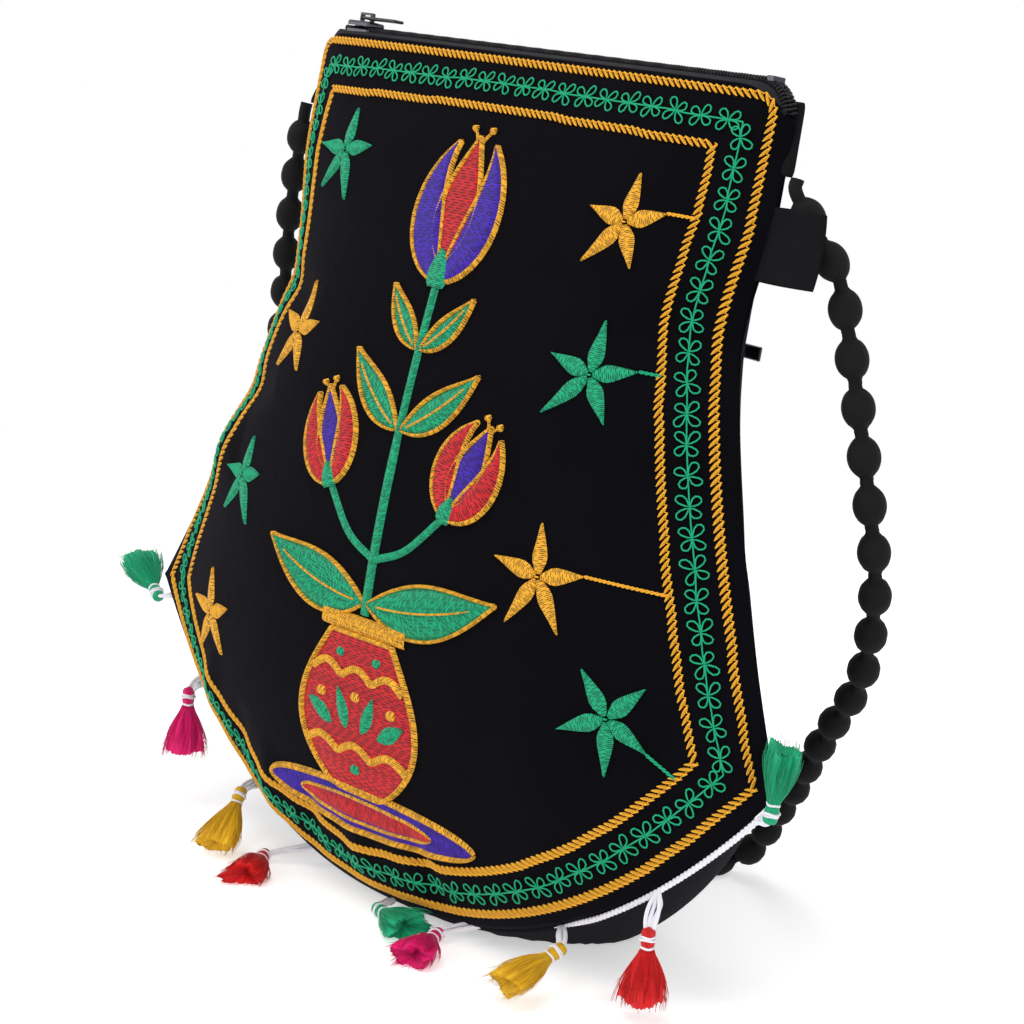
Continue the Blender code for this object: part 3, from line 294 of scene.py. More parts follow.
strap_cloth = Finish("strap_cloth", STRAP_BLACK, 0.75, sheen=0.02)
strap_cloth.around(STRAP_BLACK, 0.35, 220)
strap_weave = strap_cloth.noise(2600, 1) + 0.6 * strap_cloth.noise(420, 2)
strap_cloth.bump(strap_weave, 0.00025, 0.7)

strap_line = curved(STRAP_ROUTE)
strap_path = spaced(strap_line, int(length_of(strap_line) / STRAP_STEP))
strap_length = length_of(strap_line)
strap_beads = round((strap_length - 2 * STRAP_LEAD) / BEAD_PITCH)
bead_pitch = (strap_length - 2 * STRAP_LEAD) / strap_beads


def bead_place(k):
    """How far along the beaded stretch a ring of the strap is. Both ends are bare for a short way."""
    return min(max(strap_length * k / (len(strap_path) - 1) - STRAP_LEAD, 0), strap_length - 2 * STRAP_LEAD)


strap_radii = []
for k in range(len(strap_path)):
    off = (bead_place(k) % bead_pitch - bead_pitch / 2) / BEAD_HALF_LENGTH
    bead = BEAD_RADIUS * math.sqrt(max(1 - off * off, 0))
    strap_radii.append(math.hypot(bead, STRAP_NECK) if bead else STRAP_NECK)
strap = cords("strap", [strap_path], 1, strap_cloth, sides=6, radii=strap_radii)
strap_sides = 16
for vert in strap.data.vertices:
    ring = vert.index // strap_sides - 2
    k = {-2: len(strap_path) - 1, -1: 0}.get(ring, ring)
    across = vert.co - strap_path[k]
    along = bead_place(k)
    pinch = abs(along % bead_pitch - bead_pitch / 2) / (bead_pitch / 2)
    turn = 2 * math.pi * (vert.index % strap_sides) / strap_sides
    pleat = math.cos(PLEATS * turn + PLEAT_TWIST * (along // bead_pitch)) * max(pinch - PLEAT_START, 0)
    vert.co += across * PLEAT_DEPTH * pleat
    vert.co.z = max(vert.co.z, ON_FLOOR)
on_bag(strap, "strap_cloth", "strap_cord")
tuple(STRAP_ROUTE[0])
[tuple(p) for p in strap_path]


# The body is two panels of black cotton velvet, sewn right round but for the top, turned and stuffed.
# The front was embroidered while it was flat. The back sags onto the floor behind the seam.
LEAN = math.radians(13.5)
SEAM_FORWARD = 0.026
SEAM_ABOVE_FLOOR = 0.003
BAG_HEIGHT = 0.281
TOP_HALF = 0.111
SHOULDER_HEIGHT = 0.245
WAIST_HALF = 0.106
WAIST_HEIGHT = 0.204
CORNER_HALF = 0.152
CORNER_HEIGHT = 0.077
FLARE_POWER = 1.35
BOTTOM_POWER = 2.3
SEAM_HALF_GAP = 0.0012
FRONT_SWELL = 0.041
BACK_SWELL = 0.046
SIDE_REACH = 0.038
TOP_REACH = 0.066
FRONT_BOTTOM_REACH = 0.043
BACK_BOTTOM_REACH = 0.012
HEM_BOW = 0.0082
HEM_BOW_REACH = 0.058
BASE_SAG = 0.036
BASE_SAG_REACH = 0.036
BASE_BULGE = 0.011
POCKET_HEIGHT = 0.200
POCKET_ARC_DEPTH = 0.034
POCKET_ARC_RADIUS = 0.222
POCKET_ARC_BLEND = 0.018
HEM_BAND = 0.0033
CORNER_DROP = 0.0090
CORNER_START = 0.0930
SEAM_DRAWN_IN = 0.0010
SEAM_TURNING = 0.0050
WINDOW_HALF_LENGTH = 0.0985
WINDOW_HALF_HEIGHT = 0.0055
VELVET_BLACK = (0.0022, 0.0019, 0.0032)
FRONT_FOLDS = [
    ((-0.112, 0.196), (-0.062, 0.186), 0.0080, 0.0030),
    ((-0.122, 0.150), (-0.078, 0.158), 0.0070, 0.0026),
    ((0.106, 0.188), (0.072, 0.196), 0.0080, 0.0016),
    ((0.030, 0.004), (0.020, 0.036), 0.0055, 0.0030),
    ((-0.042, 0.005), (-0.026, 0.038), 0.0060, 0.0026),
    ((-0.086, 0.022), (-0.070, 0.050), 0.0070, 0.0020),
    ((-0.134, 0.128), (-0.096, 0.134), 0.0110, -0.0036),
    ((-0.108, 0.036), (-0.092, 0.062), 0.0060, -0.0020),
    ((-0.065, 0.010), (-0.052, 0.040), 0.0060, -0.0024),
    ((-0.008, 0.001), (-0.004, 0.034), 0.0070, -0.0026),
]
BACK_FOLDS = [
    ((-0.115, 0.160), (-0.070, 0.150), 0.0090, 0.0030),
    ((0.120, 0.140), (0.080, 0.150), 0.0090, 0.0030),
    ((-0.040, 0.050), (-0.030, 0.100), 0.0100, 0.0026),
    ((0.045, 0.048), (0.030, 0.095), 0.0100, 0.0026),
]
bag_frame = (Matrix.Translation((0, -SEAM_FORWARD, SEAM_ABOVE_FLOOR)) @ Matrix.Rotation(-LEAN, 4, "X"))


def half_width(z):
    if z < CORNER_HEIGHT:
        return CORNER_HALF + (CORNER_HEIGHT - z) * 0.45
    if z < WAIST_HEIGHT:
        share = (WAIST_HEIGHT - z) / (WAIST_HEIGHT - CORNER_HEIGHT)
        return WAIST_HALF + (CORNER_HALF - WAIST_HALF) * share ** FLARE_POWER
    share = min((z - WAIST_HEIGHT) / (SHOULDER_HEIGHT - WAIST_HEIGHT), 1)
    return WAIST_HALF + (TOP_HALF - WAIST_HALF) * math.sin(share * math.pi / 2) ** 2


def bottom_edge(x):
    return CORNER_HEIGHT * (abs(x) / CORNER_HALF) ** BOTTOM_POWER


def bottom_slope(x):
    steepness = BOTTOM_POWER * CORNER_HEIGHT / CORNER_HALF
    return math.copysign(steepness * (abs(x) / CORNER_HALF) ** (BOTTOM_POWER - 1), x)


def swell(distance, reach):
    return 1 - math.exp(-max(distance, 0) / reach)


def folds(x, z, lines):
    total = 0
    for (x0, z0), (x1, z1), width, depth in lines:
        run_x, run_z = x1 - x0, z1 - z0
        share = ((x - x0) * run_x + (z - z0) * run_z) / (run_x ** 2 + run_z ** 2)
        if 0 < share < 1:
            across = math.hypot(x - x0 - share * run_x, z - z0 - share * run_z)
            total += depth * math.sin(math.pi * share) * math.exp(-(across / width) ** 2)
    return total


def panel_depth(x, z, depth, bottom_reach):
    width = half_width(z)
    above = (z - bottom_edge(x)) / math.hypot(1, bottom_slope(x))
    bow = HEM_BOW * (1 - min(abs(x) / width, 1) ** 6) * math.exp((z - BAG_HEIGHT) / HEM_BOW_REACH)
    sides = swell(width - x, SIDE_REACH) * swell(width + x, SIDE_REACH)
    ends = swell(above, bottom_reach) * swell(BAG_HEIGHT - z, TOP_REACH)
    return SEAM_HALF_GAP + bow * swell(above, 0.02) + depth * sides * ends


def front_surface(x, z):
    depth = panel_depth(x, z, FRONT_SWELL, FRONT_BOTTOM_REACH) - folds(x, z, FRONT_FOLDS)
    return Vector((x, -depth, z))


def back_surface(x, z):
    above = max(z - bottom_edge(x), 0) / BASE_SAG_REACH
    base = max(1 - (abs(x) / CORNER_HALF) ** 2, 0) * above * math.exp(1 - above)
    depth = panel_depth(x, z, BACK_SWELL, BACK_BOTTOM_REACH) - folds(x, z, BACK_FOLDS) + BASE_BULGE * base
    reach = min(abs(x), 0.9 * POCKET_ARC_RADIUS)
    arc = POCKET_ARC_DEPTH - POCKET_ARC_RADIUS + math.sqrt(POCKET_ARC_RADIUS ** 2 - reach ** 2)
    closeness = math.exp(-((z - POCKET_HEIGHT) / POCKET_ARC_BLEND) ** 4)
    depth += (arc - depth) * closeness * swell(half_width(z) - abs(x) - 0.004, 0.003)
    floor = (depth * math.sin(LEAN) - SEAM_ABOVE_FLOOR) / math.cos(LEAN)
    return Vector((x, depth, max(z - BASE_SAG * base, floor)))


def normal_at(surface, x, z, outward):
    step = 0.0008
    across = surface(x + step, z) - surface(x - step, z)
    upward = surface(x, z + step) - surface(x, z - step)
    return upward.cross(across).normalized() * outward


def on_front(x, z, lift=0.0):
    """A world point on the front panel's face, or lift above it."""
    return bag_frame @ (front_surface(x, z) + normal_at(front_surface, x, z, -1) * lift)


def on_back(x, z, lift=0.0):
    return bag_frame @ (back_surface(x, z) + normal_at(back_surface, x, z, 1) * lift)


def panel_place(u, v):
    side = CORNER_HEIGHT + (BAG_HEIGHT - CORNER_HEIGHT) * v
    sag = CORNER_HEIGHT * (1 - abs(u) ** BOTTOM_POWER) * (1 - v) ** 2
    return u * half_width(side), side - sag


def ease(value):
    return 0.5 * value + 0.5 * math.sin(value * math.pi / 2)


def hem_height(x):
    """The top of the velvet, below the zip's tape. It turns down at the two upper corners."""
    past = max(abs(x) - CORNER_START, 0) / (TOP_HALF - CORNER_START)
    return BAG_HEIGHT - HEM_BAND - CORNER_DROP * past ** 2.2


def under_hem(x, z):
    """A place in the pattern, drawn down so that the panel ends at the hem."""
    return z - (BAG_HEIGHT - hem_height(x)) * max((z - 0.235) / (BAG_HEIGHT - 0.235), 0) ** 2


velvet = Finish("velvet", VELVET_BLACK, 0.95, sheen=0.035)
velvet.set("Sheen Tint", (0.60, 0.55, 0.75, 1))
velvet.set("Specular IOR Level", 0.05)
velvet.around(VELVET_BLACK, 0.6, 28)
velvet.bump(velvet.noise(1900, 2) + 0.8 * velvet.noise(260, 3), 0.0005, 0.6)

VELVET_THICKNESS = 0.0009
for name, surface in (("front_panel", on_front), ("back_panel", on_back)):
    bm = bmesh.new()
    bmesh.ops.create_grid(bm, x_segments=130, y_segments=140, size=1)
    for vert in bm.verts:
        u = ease(vert.co.x) * (1 if surface is on_front else -1)
        x, z = panel_place(u, (ease(vert.co.y) + 1) / 2)
        vert.co = (x, 0, under_hem(x, z))
    if surface is on_back:
        for place, normal in (((0, 0, POCKET_HEIGHT - WINDOW_HALF_HEIGHT), (0, 0, 1)),
                              ((0, 0, POCKET_HEIGHT + WINDOW_HALF_HEIGHT), (0, 0, 1)),
                              ((-WINDOW_HALF_LENGTH, 0, 0), (1, 0, 0)),
                              ((WINDOW_HALF_LENGTH, 0, 0), (1, 0, 0))):
            everything = bm.verts[:] + bm.edges[:] + bm.faces[:]
            bmesh.ops.bisect_plane(bm, geom=everything, plane_co=place, plane_no=normal, dist=0.00001)
        window = [f for f in bm.faces if abs(f.calc_center_median().x) < WINDOW_HALF_LENGTH
                  and abs(f.calc_center_median().z - POCKET_HEIGHT) < WINDOW_HALF_HEIGHT]
        bmesh.ops.delete(bm, geom=window, context="FACES")
    for vert in bm.verts:
        x, z = vert.co.x, vert.co.z
        edge = min(half_width(z) - abs(x), z - bottom_edge(x))
        draw = SEAM_DRAWN_IN * max(1 - edge / SEAM_TURNING, 0) * (1 if surface is on_front else -1)
        vert.co = surface(x, z) + bag_frame.to_3x3() @ Vector((0, draw, 0))
    panel = into_scene("velvet_" + name, mesh_of(bm, name), velvet)
    cloth = panel.modifiers.new("cloth", "SOLIDIFY")
    cloth.thickness = VELVET_THICKNESS
    cloth.offset = -1
    on_bag(panel, "velvet", name)

LINING_BLACK = (0.012, 0.012, 0.014)
lining = Finish("lining", LINING_BLACK, 0.6)
lining.around(LINING_BLACK, 0.3, 90)
lining.bump(lining.noise(1400, 1), 0.0001, 0.5)
dress(("front_lining", "back_lining", "pocket_bag"), lining)


# Both zips are nylon coils on woven tape: one along the top, which turns down at the right corner, and one
# across the back, in a window of the panel. The sliders are gunmetal and the top pull is painted black.
TOP_ZIP_HALF = 0.099
TOP_COIL_DROP = 0.0012
TOP_TURN_START = 0.0970
TOP_TURN_RADIUS = 0.0120
TOP_TURN_ANGLE = 1.30
POCKET_ZIP_HALF = 0.096
POCKET_COIL_SINK = 0.0005
COIL_PITCH = 0.00125
COIL_ACROSS = 0.0013
COIL_WIDE = 0.0013
COIL_TALL = 0.0009
COIL_WIRE = 0.00050
TAPE_PAST_COIL = 0.004
TAPE_UNDER_COIL = 0.0006
TAPE_PUFF = 0.0007
TAPE_BLACK = (0.019, 0.019, 0.022)
NYLON_BLACK = (0.010, 0.010, 0.012)

tape_cloth = Finish("zip_tape", TAPE_BLACK, 0.85)
tape_cloth.around(TAPE_BLACK, 0.25, 300)
tape_cloth.bump(tape_cloth.weave(0.0006) + tape_cloth.noise(2500, 1), 0.00008, 0.7)
coil_nylon = Finish("zip_coil", NYLON_BLACK, 0.38)
coil_nylon.around(NYLON_BLACK, 0.3, 400)
coil_nylon.bump(coil_nylon.noise(3000, 1), 0.00004, 0.5)


def top_line(along):
    """The top zip's middle line, in the bag's frame. It turns down past the last stretch at the right."""
    turn = max(along - TOP_TURN_START, 0) / TOP_TURN_RADIUS
    x = min(along, TOP_TURN_START) + TOP_TURN_RADIUS * math.sin(turn)
    return x, BAG_HEIGHT - TOP_COIL_DROP - TOP_TURN_RADIUS * (1 - math.cos(turn)), turn


def top_zip_place(along, across, out):
    x, z, turn = top_line(along)
    return bag_frame @ Vector((x + out * math.sin(turn), across, z + out * math.cos(turn)))


def pocket_zip_place(along, across, out):
    angle = along / POCKET_ARC_RADIUS
    radius = POCKET_ARC_RADIUS - POCKET_COIL_SINK + out
    middle = POCKET_ARC_DEPTH - POCKET_ARC_RADIUS
    depth = middle + radius * math.cos(angle)
    return bag_frame @ Vector((radius * math.sin(angle), depth, POCKET_HEIGHT - across))


def coil_path(place, start, end, side):
    """One side's nylon coil: flat loops that reach across to the other side's."""
    count = int((end - start) / COIL_PITCH) * 8
    path = []
    for k in range(count + 1):
        turn = math.tau * k / 8 + (math.pi if side > 0 else 0)
        path.append(place(start + (end - start) * k / count, side * COIL_ACROSS + COIL_WIDE * math.cos(turn),
                          COIL_TALL * math.sin(turn)))
    return path


def place_coil(name, place, start, end, side):
    coil = cords(name + "_loops", [coil_path(place, start, end, side)], COIL_WIRE, coil_nylon, sides=0)
    on_bag(coil, "zip_coil", name)


def strip_of_cloth(name, replaced, columns, rows, place, size, finish, thickness=0.0004):
    """A strip of woven cloth put in space by place(u, v), with u and v from 0 to 1 and size in metres."""
    bm = bmesh.new()
    bmesh.ops.create_grid(bm, x_segments=columns, y_segments=rows, size=0.5)
    uv = bm.loops.layers.uv.verify()
    for face in bm.faces:
        for loop in face.loops:
            spot = loop.vert.co
            loop[uv].uv = ((spot.x + 0.5) * size[0], (spot.y + 0.5) * size[1])
    for vert in bm.verts:
        vert.co = place(vert.co.x + 0.5, vert.co.y + 0.5)
    made = into_scene(name, mesh_of(bm, name), finish)
    cloth = made.modifiers.new("cloth", "SOLIDIFY")
    cloth.thickness = thickness
    cloth.offset = 0
    on_bag(made, finish.slot, replaced)
    return made


top_end = TOP_TURN_START + TOP_TURN_RADIUS * TOP_TURN_ANGLE
for side, surface, tape_name, coil_name in ((-1, front_surface, "top_zip_front_tape", "top_zip_front_coil"),
                                            (1, back_surface, "top_zip_back_tape", "top_zip_back_coil")):
    def tape_place(u, v):
        along = -TOP_ZIP_HALF - TAPE_PAST_COIL + (top_end + TOP_ZIP_HALF + TAPE_PAST_COIL) * u
        x, z, turn = top_line(along)
        inner = Vector((x, side * COIL_ACROSS, z - TAPE_UNDER_COIL))
        outer = surface(min(abs(x), TOP_HALF - 0.0015) * math.copysign(1, x), hem_height(x) - 0.0010)
        outer.y -= side * 0.0004
        middle = inner.lerp(outer, v)
        middle.z += TAPE_PUFF * math.sin(math.pi * v)
        return bag_frame @ middle

    strip_of_cloth(tape_name + "_woven", tape_name, 150, 8, tape_place, (0.22, 0.009), tape_cloth)
    place_coil(coil_name, top_zip_place, -TOP_ZIP_HALF, top_end, side)

for side, tape_name, coil_name in ((-1, "pocket_zip_upper_tape", "pocket_zip_upper_coil"),
                                   (1, "pocket_zip_lower_tape", "pocket_zip_lower_coil")):
    def tape_place(u, v):
        across = COIL_ACROSS + (WINDOW_HALF_HEIGHT + 0.0008 - COIL_ACROSS) * v
        along = (2 * u - 1) * (WINDOW_HALF_LENGTH + 0.001)
        return pocket_zip_place(along, side * across, -0.0008 - 0.0006 * v)

    strip_of_cloth(tape_name + "_woven", tape_name, 120, 5, tape_place, (0.2, 0.005), tape_cloth)
    place_coil(coil_name, pocket_zip_place, -POCKET_ZIP_HALF, POCKET_ZIP_HALF, side)

gunmetal = Finish("zip_metal", (0.060, 0.060, 0.072), 0.30, metallic=0.95)
gunmetal.set("Roughness", 0.24 + 0.16 * gunmetal.noise(700, 3))
gunmetal.bump(gunmetal.noise(1500, 2), 0.00003, 0.5)
dress(("top_zip_slider", "pocket_zip_slider", "pocket_zip_pull", "top_zip_end_stop", "pocket_zip_end_stop"),
      gunmetal)
black_paint = Finish("black_paint", (0.010, 0.010, 0.012), 0.40, metallic=0.2, slot="zip_metal")
black_paint.set("Roughness", 0.34 + 0.14 * black_paint.noise(600, 3))
black_paint.bump(black_paint.noise(1200, 2), 0.00003, 0.5)
dress(("top_zip_pull",), black_paint)


# At the right seam sits a small folded label, woven plain black, and at each side a flat loop of cloth that
# holds the strap's end.
LABEL_LOW = 0.2215
LABEL_TALL = 0.0222
LABEL_WIDE = 0.0210
LABEL_FOLD = 0.0005
LABEL_BEND = 0.0015
TAB_TOP = 0.275
TAB_LENGTH = 0.022
TAB_WIDTH = 0.0038
TAB_THICKNESS = 0.003

LABEL_BLACK = (0.0055, 0.0053, 0.0070)
label_weave = Finish("label", LABEL_BLACK, 0.75)
label_weave.set("Specular IOR Level", 0.06)
label_weave.around(LABEL_BLACK, 0.25, 200)
label_weave.bump(label_weave.weave(0.0005), 0.00007, 0.8)
label_outer = half_width(LABEL_LOW + LABEL_TALL / 2) + LABEL_WIDE


def label_place(u, v):
    """Along the folded band and up it: out on the front, round the fold, and back to the seam."""
    z = LABEL_LOW + LABEL_TALL * v
    share = 1 - abs(2 * u - 1)
    inner = half_width(z) - 0.002
    x = inner + (label_outer - inner) * min(share * 1.01, 1)
    fold = LABEL_FOLD * math.sqrt(max(1 - share ** 12, 0))
    curl = 0.0012 * share ** 3 * (v - 0.5) ** 2 * 4
    y = -LABEL_BEND * math.sin(math.pi * share) + (fold if u > 0.5 else -fold) - curl
    return bag_frame @ Vector((x, y, z + 0.0005 * math.sin(math.pi * share) * (v - 0.5)))


label = strip_of_cloth("folded_label", "side_label", 72, 26, label_place, (2 * LABEL_WIDE, LABEL_TALL),
                       label_weave, 0.0003)

tab_weave = Finish("tab_cloth", STRAP_BLACK, 0.8, slot="strap_cloth")
tab_weave.set("Specular IOR Level", 0.06)
tab_weave.around(STRAP_BLACK, 0.25, 300)
tab_weave.bump(tab_weave.weave(0.0007) + tab_weave.noise(2200, 1), 0.0001, 0.8)
for name, side, tuck in (("strap_tab_right", 1, 0.0048), ("strap_tab_left", -1, 0.0050)):
    def tab_place(u, v):
        """A flattened loop of cloth, round its own width (u) and down its length (v)."""
        turn = math.tau * u
        z = TAB_TOP - TAB_LENGTH * v
        inner = half_width(TAB_TOP) - 0.0012 - tuck * (1 - v)
        round_off = math.sqrt(max(1 - abs(2 * v - 1) ** 10, 0.05))
        across = math.copysign(abs(math.cos(turn)) ** 0.6, math.cos(turn)) * TAB_WIDTH / 2
        deep = math.copysign(abs(math.sin(turn)) ** 0.7, math.sin(turn)) * TAB_THICKNESS / 2 * round_off
        return bag_frame @ Vector((side * (inner + TAB_WIDTH / 2 + across), deep + tuck * (1 - v), z))

    strip_of_cloth(name + "_woven", name, 28, 34, tab_place, (0.016, TAB_LENGTH), tab_weave, 0.0003)


# Round the front runs a border of three lines: an outer gold rope, a chain of green flowers, and an inner
# gold rope. Each rope is slanting satin stitches laid side by side, with a thread that ties them in.
OUTER_INSET = 0.0060
INNER_INSET = 0.0227
GOLD = (0.84, 0.40, 0.022)
GREEN = (0.004, 0.36, 0.17)
ROPE_PITCH = 0.0023
STITCH_LENGTH = 0.0042
STITCH_HALF_WIDTH = 0.00056
STITCH_SLANT = math.radians(38)
TIE_THREAD = 0.00022
OUTER_CORNER_RADIUS = 0.0055
FLOWER_PITCH = 0.0095
PETAL_TURNS = (-38, 38, 142, 218)
PETAL_SWAY = 0.16
PETAL_LENGTH = 0.0043
PETAL_HALF_WIDTH = 0.00115
PETAL_LOOP = [(0.08, 0), (0.30, 0.55), (0.62, 1.0), (0.88, 0.95), (1.0, 0.30), (0.97, -0.35), (0.80, -0.95),
              (0.52, -0.95), (0.26, -0.5)]
PETAL_THREAD = 0.00028


def thread_finish(name, colour, dash=0.0, slot=None):
    """Mercerised cotton: single threads differ a little in tone, and catch the light along their backs.

    The UV map counts threads one way and metres along them the other. Satin and fill show dark gaps between
    their threads, of about a dash length, out of step from thread to thread.
    """
    made = Finish(name, colour, 0.5, sheen=0.03, slot=slot)
    made.set("Specular IOR Level", 0.2)
    number, along = made.uv_numbers()
    tone = 0.6 * made.each_strand(number) + 0.4 * made.noise(900, 1)
    low = [c * 0.60 for c in colour]
    high = [min(c * 1.2 + 0.004, 1) for c in colour]
    tinted = made.tint(tone, low, high)
    if dash:
        beside = made.each_strand(number + 0.5)
        between = ((number.of("FRACT") - 0.5).of("ABSOLUTE") - 0.24) * 8
        span = (0.62 - (along * (1 / dash) + 7 * beside).of("FRACT")) * 10
        gap = between.of("MINIMUM", 1).of("MAXIMUM", 0) * span.of("MINIMUM", 0.9).of("MAXIMUM", 0)
        mix = {0: gap, 6: tinted.socket, 7: (0.004, 0.003, 0.006, 1)}
        tinted = made.node("ShaderNodeMix", {"data_type": "RGBA"}, mix, 2)
    made.set("Base Color", tinted)
    made.bump(made.noise(2400, 1), 0.00012, 0.6)
    return made


gold_thread = thread_finish("gold_thread", GOLD)
green_thread = thread_finish("green_thread", GREEN)
SATIN_GAP = 0.0031
gold_satin = thread_finish("gold_satin", GOLD, SATIN_GAP, "gold_thread")
green_satin = thread_finish("green_satin", GREEN, SATIN_GAP, "green_thread")


def inset(x, z, inward, distance):
    step = 0.0005
    travelled = 0
    place = front_surface(x, z)
    while travelled < distance:
        x += inward[0] * step
        z += inward[1] * step
        following = front_surface(x, z)
        travelled += (following - place).length
        place = following
    return Vector((x, z))


def inset_lines(distance, count=40):
    side, top, bottom = [], [], []
    for k in range(count + 1):
        share = k / count
        z = CORNER_HEIGHT + (BAG_HEIGHT - CORNER_HEIGHT) * share
        low = max(z - 0.001, CORNER_HEIGHT)
        slope = (half_width(z + 0.001) - half_width(low)) / (z + 0.001 - low)
        length = math.hypot(1, slope)
        side.append(inset(half_width(z), z, (-1 / length, slope / length), distance))
        top.append(inset(TOP_HALF * (2 * share - 1), BAG_HEIGHT, (0, -1), distance))
        x = CORNER_HALF * (2 * share - 1)
        slope = bottom_slope(x)
        length = math.hypot(1, slope)
        bottom.append(inset(x, bottom_edge(x), (-slope / length, 1 / length), distance))
    return side, top, bottom


def meeting(a, b, c, d):
    """Where the stretch from a to b crosses the one from c to d, or None."""
    first, second, between = b - a, d - c, c - a
    turn = first.x * second.y - first.y * second.x
    if abs(turn) < 1e-12:
        return None
    s = (between.x * second.y - between.y * second.x) / turn
    t = (between.x * first.y - between.y * first.x) / turn
    return a + first * s if 0 <= s <= 1 and 0 <= t <= 1 else None


def crossing(first, second):
    for i in range(len(first) - 1):
        for j in range(len(second) - 1):
            point = meeting(first[i], first[i + 1], second[j], second[j + 1])
            if point is not None:
                return i, point


def border_legs(distance):
    """The border at one distance from the seam: its right, top, left and bottom legs, round in one way."""
    side, top, bottom = inset_lines(distance)
    i, upper = crossing(side, top)
    j, lower = crossing(side, bottom)
    right = [lower] + side[j + 1:i + 1] + [upper]
    left = [Vector((-p.x, p.y)) for p in reversed(right)]
    across = [left[0]] + [p for p in top if abs(p.x) < upper.x] + [upper]
    under = [left[-1]] + [p for p in bottom if abs(p.x) < lower.x] + [lower]
    return right, list(reversed(across)), left, under


def cloth_length(leg):
    return sum((front_surface(*b) - front_surface(*a)).length for a, b in zip(leg, leg[1:]))


def satin(bm, line, half_widths, crown, rib=0.0006, columns=5, slant=0.0, base=0.0002, rib_height=0.00010):
    """One field of satin stitch along a line in the cloth, with its threads running across the line.

    slant leads the threads' ends forward by that share of their reach, as in a leaf's two halves.
    """
    flat = [Vector(p) for p in line]
    length = length_of(flat)
    ribs = max(round(length / rib), 2)
    rows = ribs * 3
    path = spaced(flat, rows + 1)
    uv = bm.loops.layers.uv.verify()
    grid = bmesh.ops.create_grid(bm, x_segments=rows, y_segments=columns, size=0.5)["verts"]
    spots = {}
    for vert in grid:
        s, c = vert.co.x + 0.5, vert.co.y * 2
        k = min(round(s * rows), rows)
        ahead, behind = path[min(k + 1, rows)], path[max(k - 1, 0)]
        forward = (ahead - behind).normalized()
        share = s * (len(half_widths) - 1)
        low = min(int(share), len(half_widths) - 2)
        half = half_widths[low] + (half_widths[low + 1] - half_widths[low]) * (share - low)
        spot = path[k] + Vector((-forward.y, forward.x)) * half * c
        lead = slant * abs(c) * half
        wave = math.cos(2 * math.pi * (s * length - lead) / length * ribs)
        round_off = math.sqrt(max(1 - abs(c) ** 2.5, 0))
        end_off = math.sqrt(min(s * rows / 4, (1 - s) * rows / 4, 1))
        height = base + (crown * round_off + rib_height * wave * round_off) * (0.35 + 0.65 * end_off)
        spots[vert] = ((s * length - lead) / length * ribs + 0.5, c * half)
        vert.co = on_front(spot.x, spot.y, height if abs(c) < 0.999 else base - 0.0004)
    for face in {f for vert in grid for f in vert.link_faces}:
        for loop in face.loops:
            loop[uv].uv = spots[loop.vert]


def round_corner(before, after, radius):
    """Two legs joined into one, with their corner rounded off."""
    before, after = spaced(before, 400), spaced(after, 400)
    corner = before[-1]
    before = [p for p in before if (p - corner).length > radius]
    after = [p for p in after if (p - corner).length > radius]
    bend = [before[-1].lerp(corner, k / 8).lerp(corner.lerp(after[0], k / 8), k / 8) for k in range(1, 8)]
    return before + bend + after


for name, distance in (("outer_gold_line", OUTER_INSET), ("inner_gold_line", INNER_INSET)):
    bm = bmesh.new()
    ties = []
    right, top, left, bottom = border_legs(distance)
    if distance == OUTER_INSET:
        arch = round_corner(round_corner(right, top, OUTER_CORNER_RADIUS), left, OUTER_CORNER_RADIUS)
        legs = [arch, bottom]
    else:
        legs = [right, top, left, bottom]
    for leg in legs:
        count = round(cloth_length(leg) / ROPE_PITCH)
        path = spaced(leg, 2 * count + 1)
        tie = []
        for k in range(count):
            middle = path[2 * k + 1]
            forward = (path[2 * k + 2] - path[2 * k]).normalized()
            turned = Vector((forward.x * math.cos(STITCH_SLANT) + forward.y * math.sin(STITCH_SLANT),
                             forward.y * math.cos(STITCH_SLANT) - forward.x * math.sin(STITCH_SLANT)))
            start, end = middle - turned * STITCH_LENGTH / 2, middle + turned * STITCH_LENGTH / 2
            satin(bm, [start, end], [0.3 * STITCH_HALF_WIDTH, STITCH_HALF_WIDTH, STITCH_HALF_WIDTH,
                                     0.3 * STITCH_HALF_WIDTH], 0.0007, rib=0.0020, columns=4, rib_height=0)
            beside = start.lerp(end, 0.72) + forward * ROPE_PITCH / 2
            tie += [on_front(end.x, end.y, 0.0002), on_front(*beside, 0.0005)]
        ties.append(tie)
    on_bag(into_scene(name + "_stitches", mesh_of(bm, name), gold_thread), "gold_thread", name)
    on_bag(cords(name + "_tie", ties, TIE_THREAD, gold_thread), "gold_thread")

petals = []
joins = []
rng = random.Random(3)
for leg in border_legs((OUTER_INSET + INNER_INSET) / 2):
    count = round(cloth_length(leg) / FLOWER_PITCH)
    path = spaced(leg, 2 * count + 1)
    joins.append([on_front(p.x, p.y, 0.0004) for p in spaced(leg, 6 * count + 1)])
    for k in range(count):
        middle = path[2 * k + 1]
        forward = (path[2 * k + 2] - path[2 * k]).normalized()
        for lean in PETAL_TURNS:
            turn = math.radians(lean) + PETAL_SWAY * math.sin(2.3 * k) + rng.uniform(-0.12, 0.12)
            length = PETAL_LENGTH * rng.uniform(0.88, 1.08)
            out = Vector((forward.x * math.cos(turn) - forward.y * math.sin(turn),
                          forward.x * math.sin(turn) + forward.y * math.cos(turn)))
            across = Vector((-out.y, out.x))
            petals.append([on_front(*(middle + out * length * reach + across * PETAL_HALF_WIDTH * half),
                                    0.0005) for reach, half in PETAL_LOOP])
chain = cords("flower_chain_petals", petals, PETAL_THREAD, green_thread, closed=True)
on_bag(chain, "green_thread", "flower_chain")
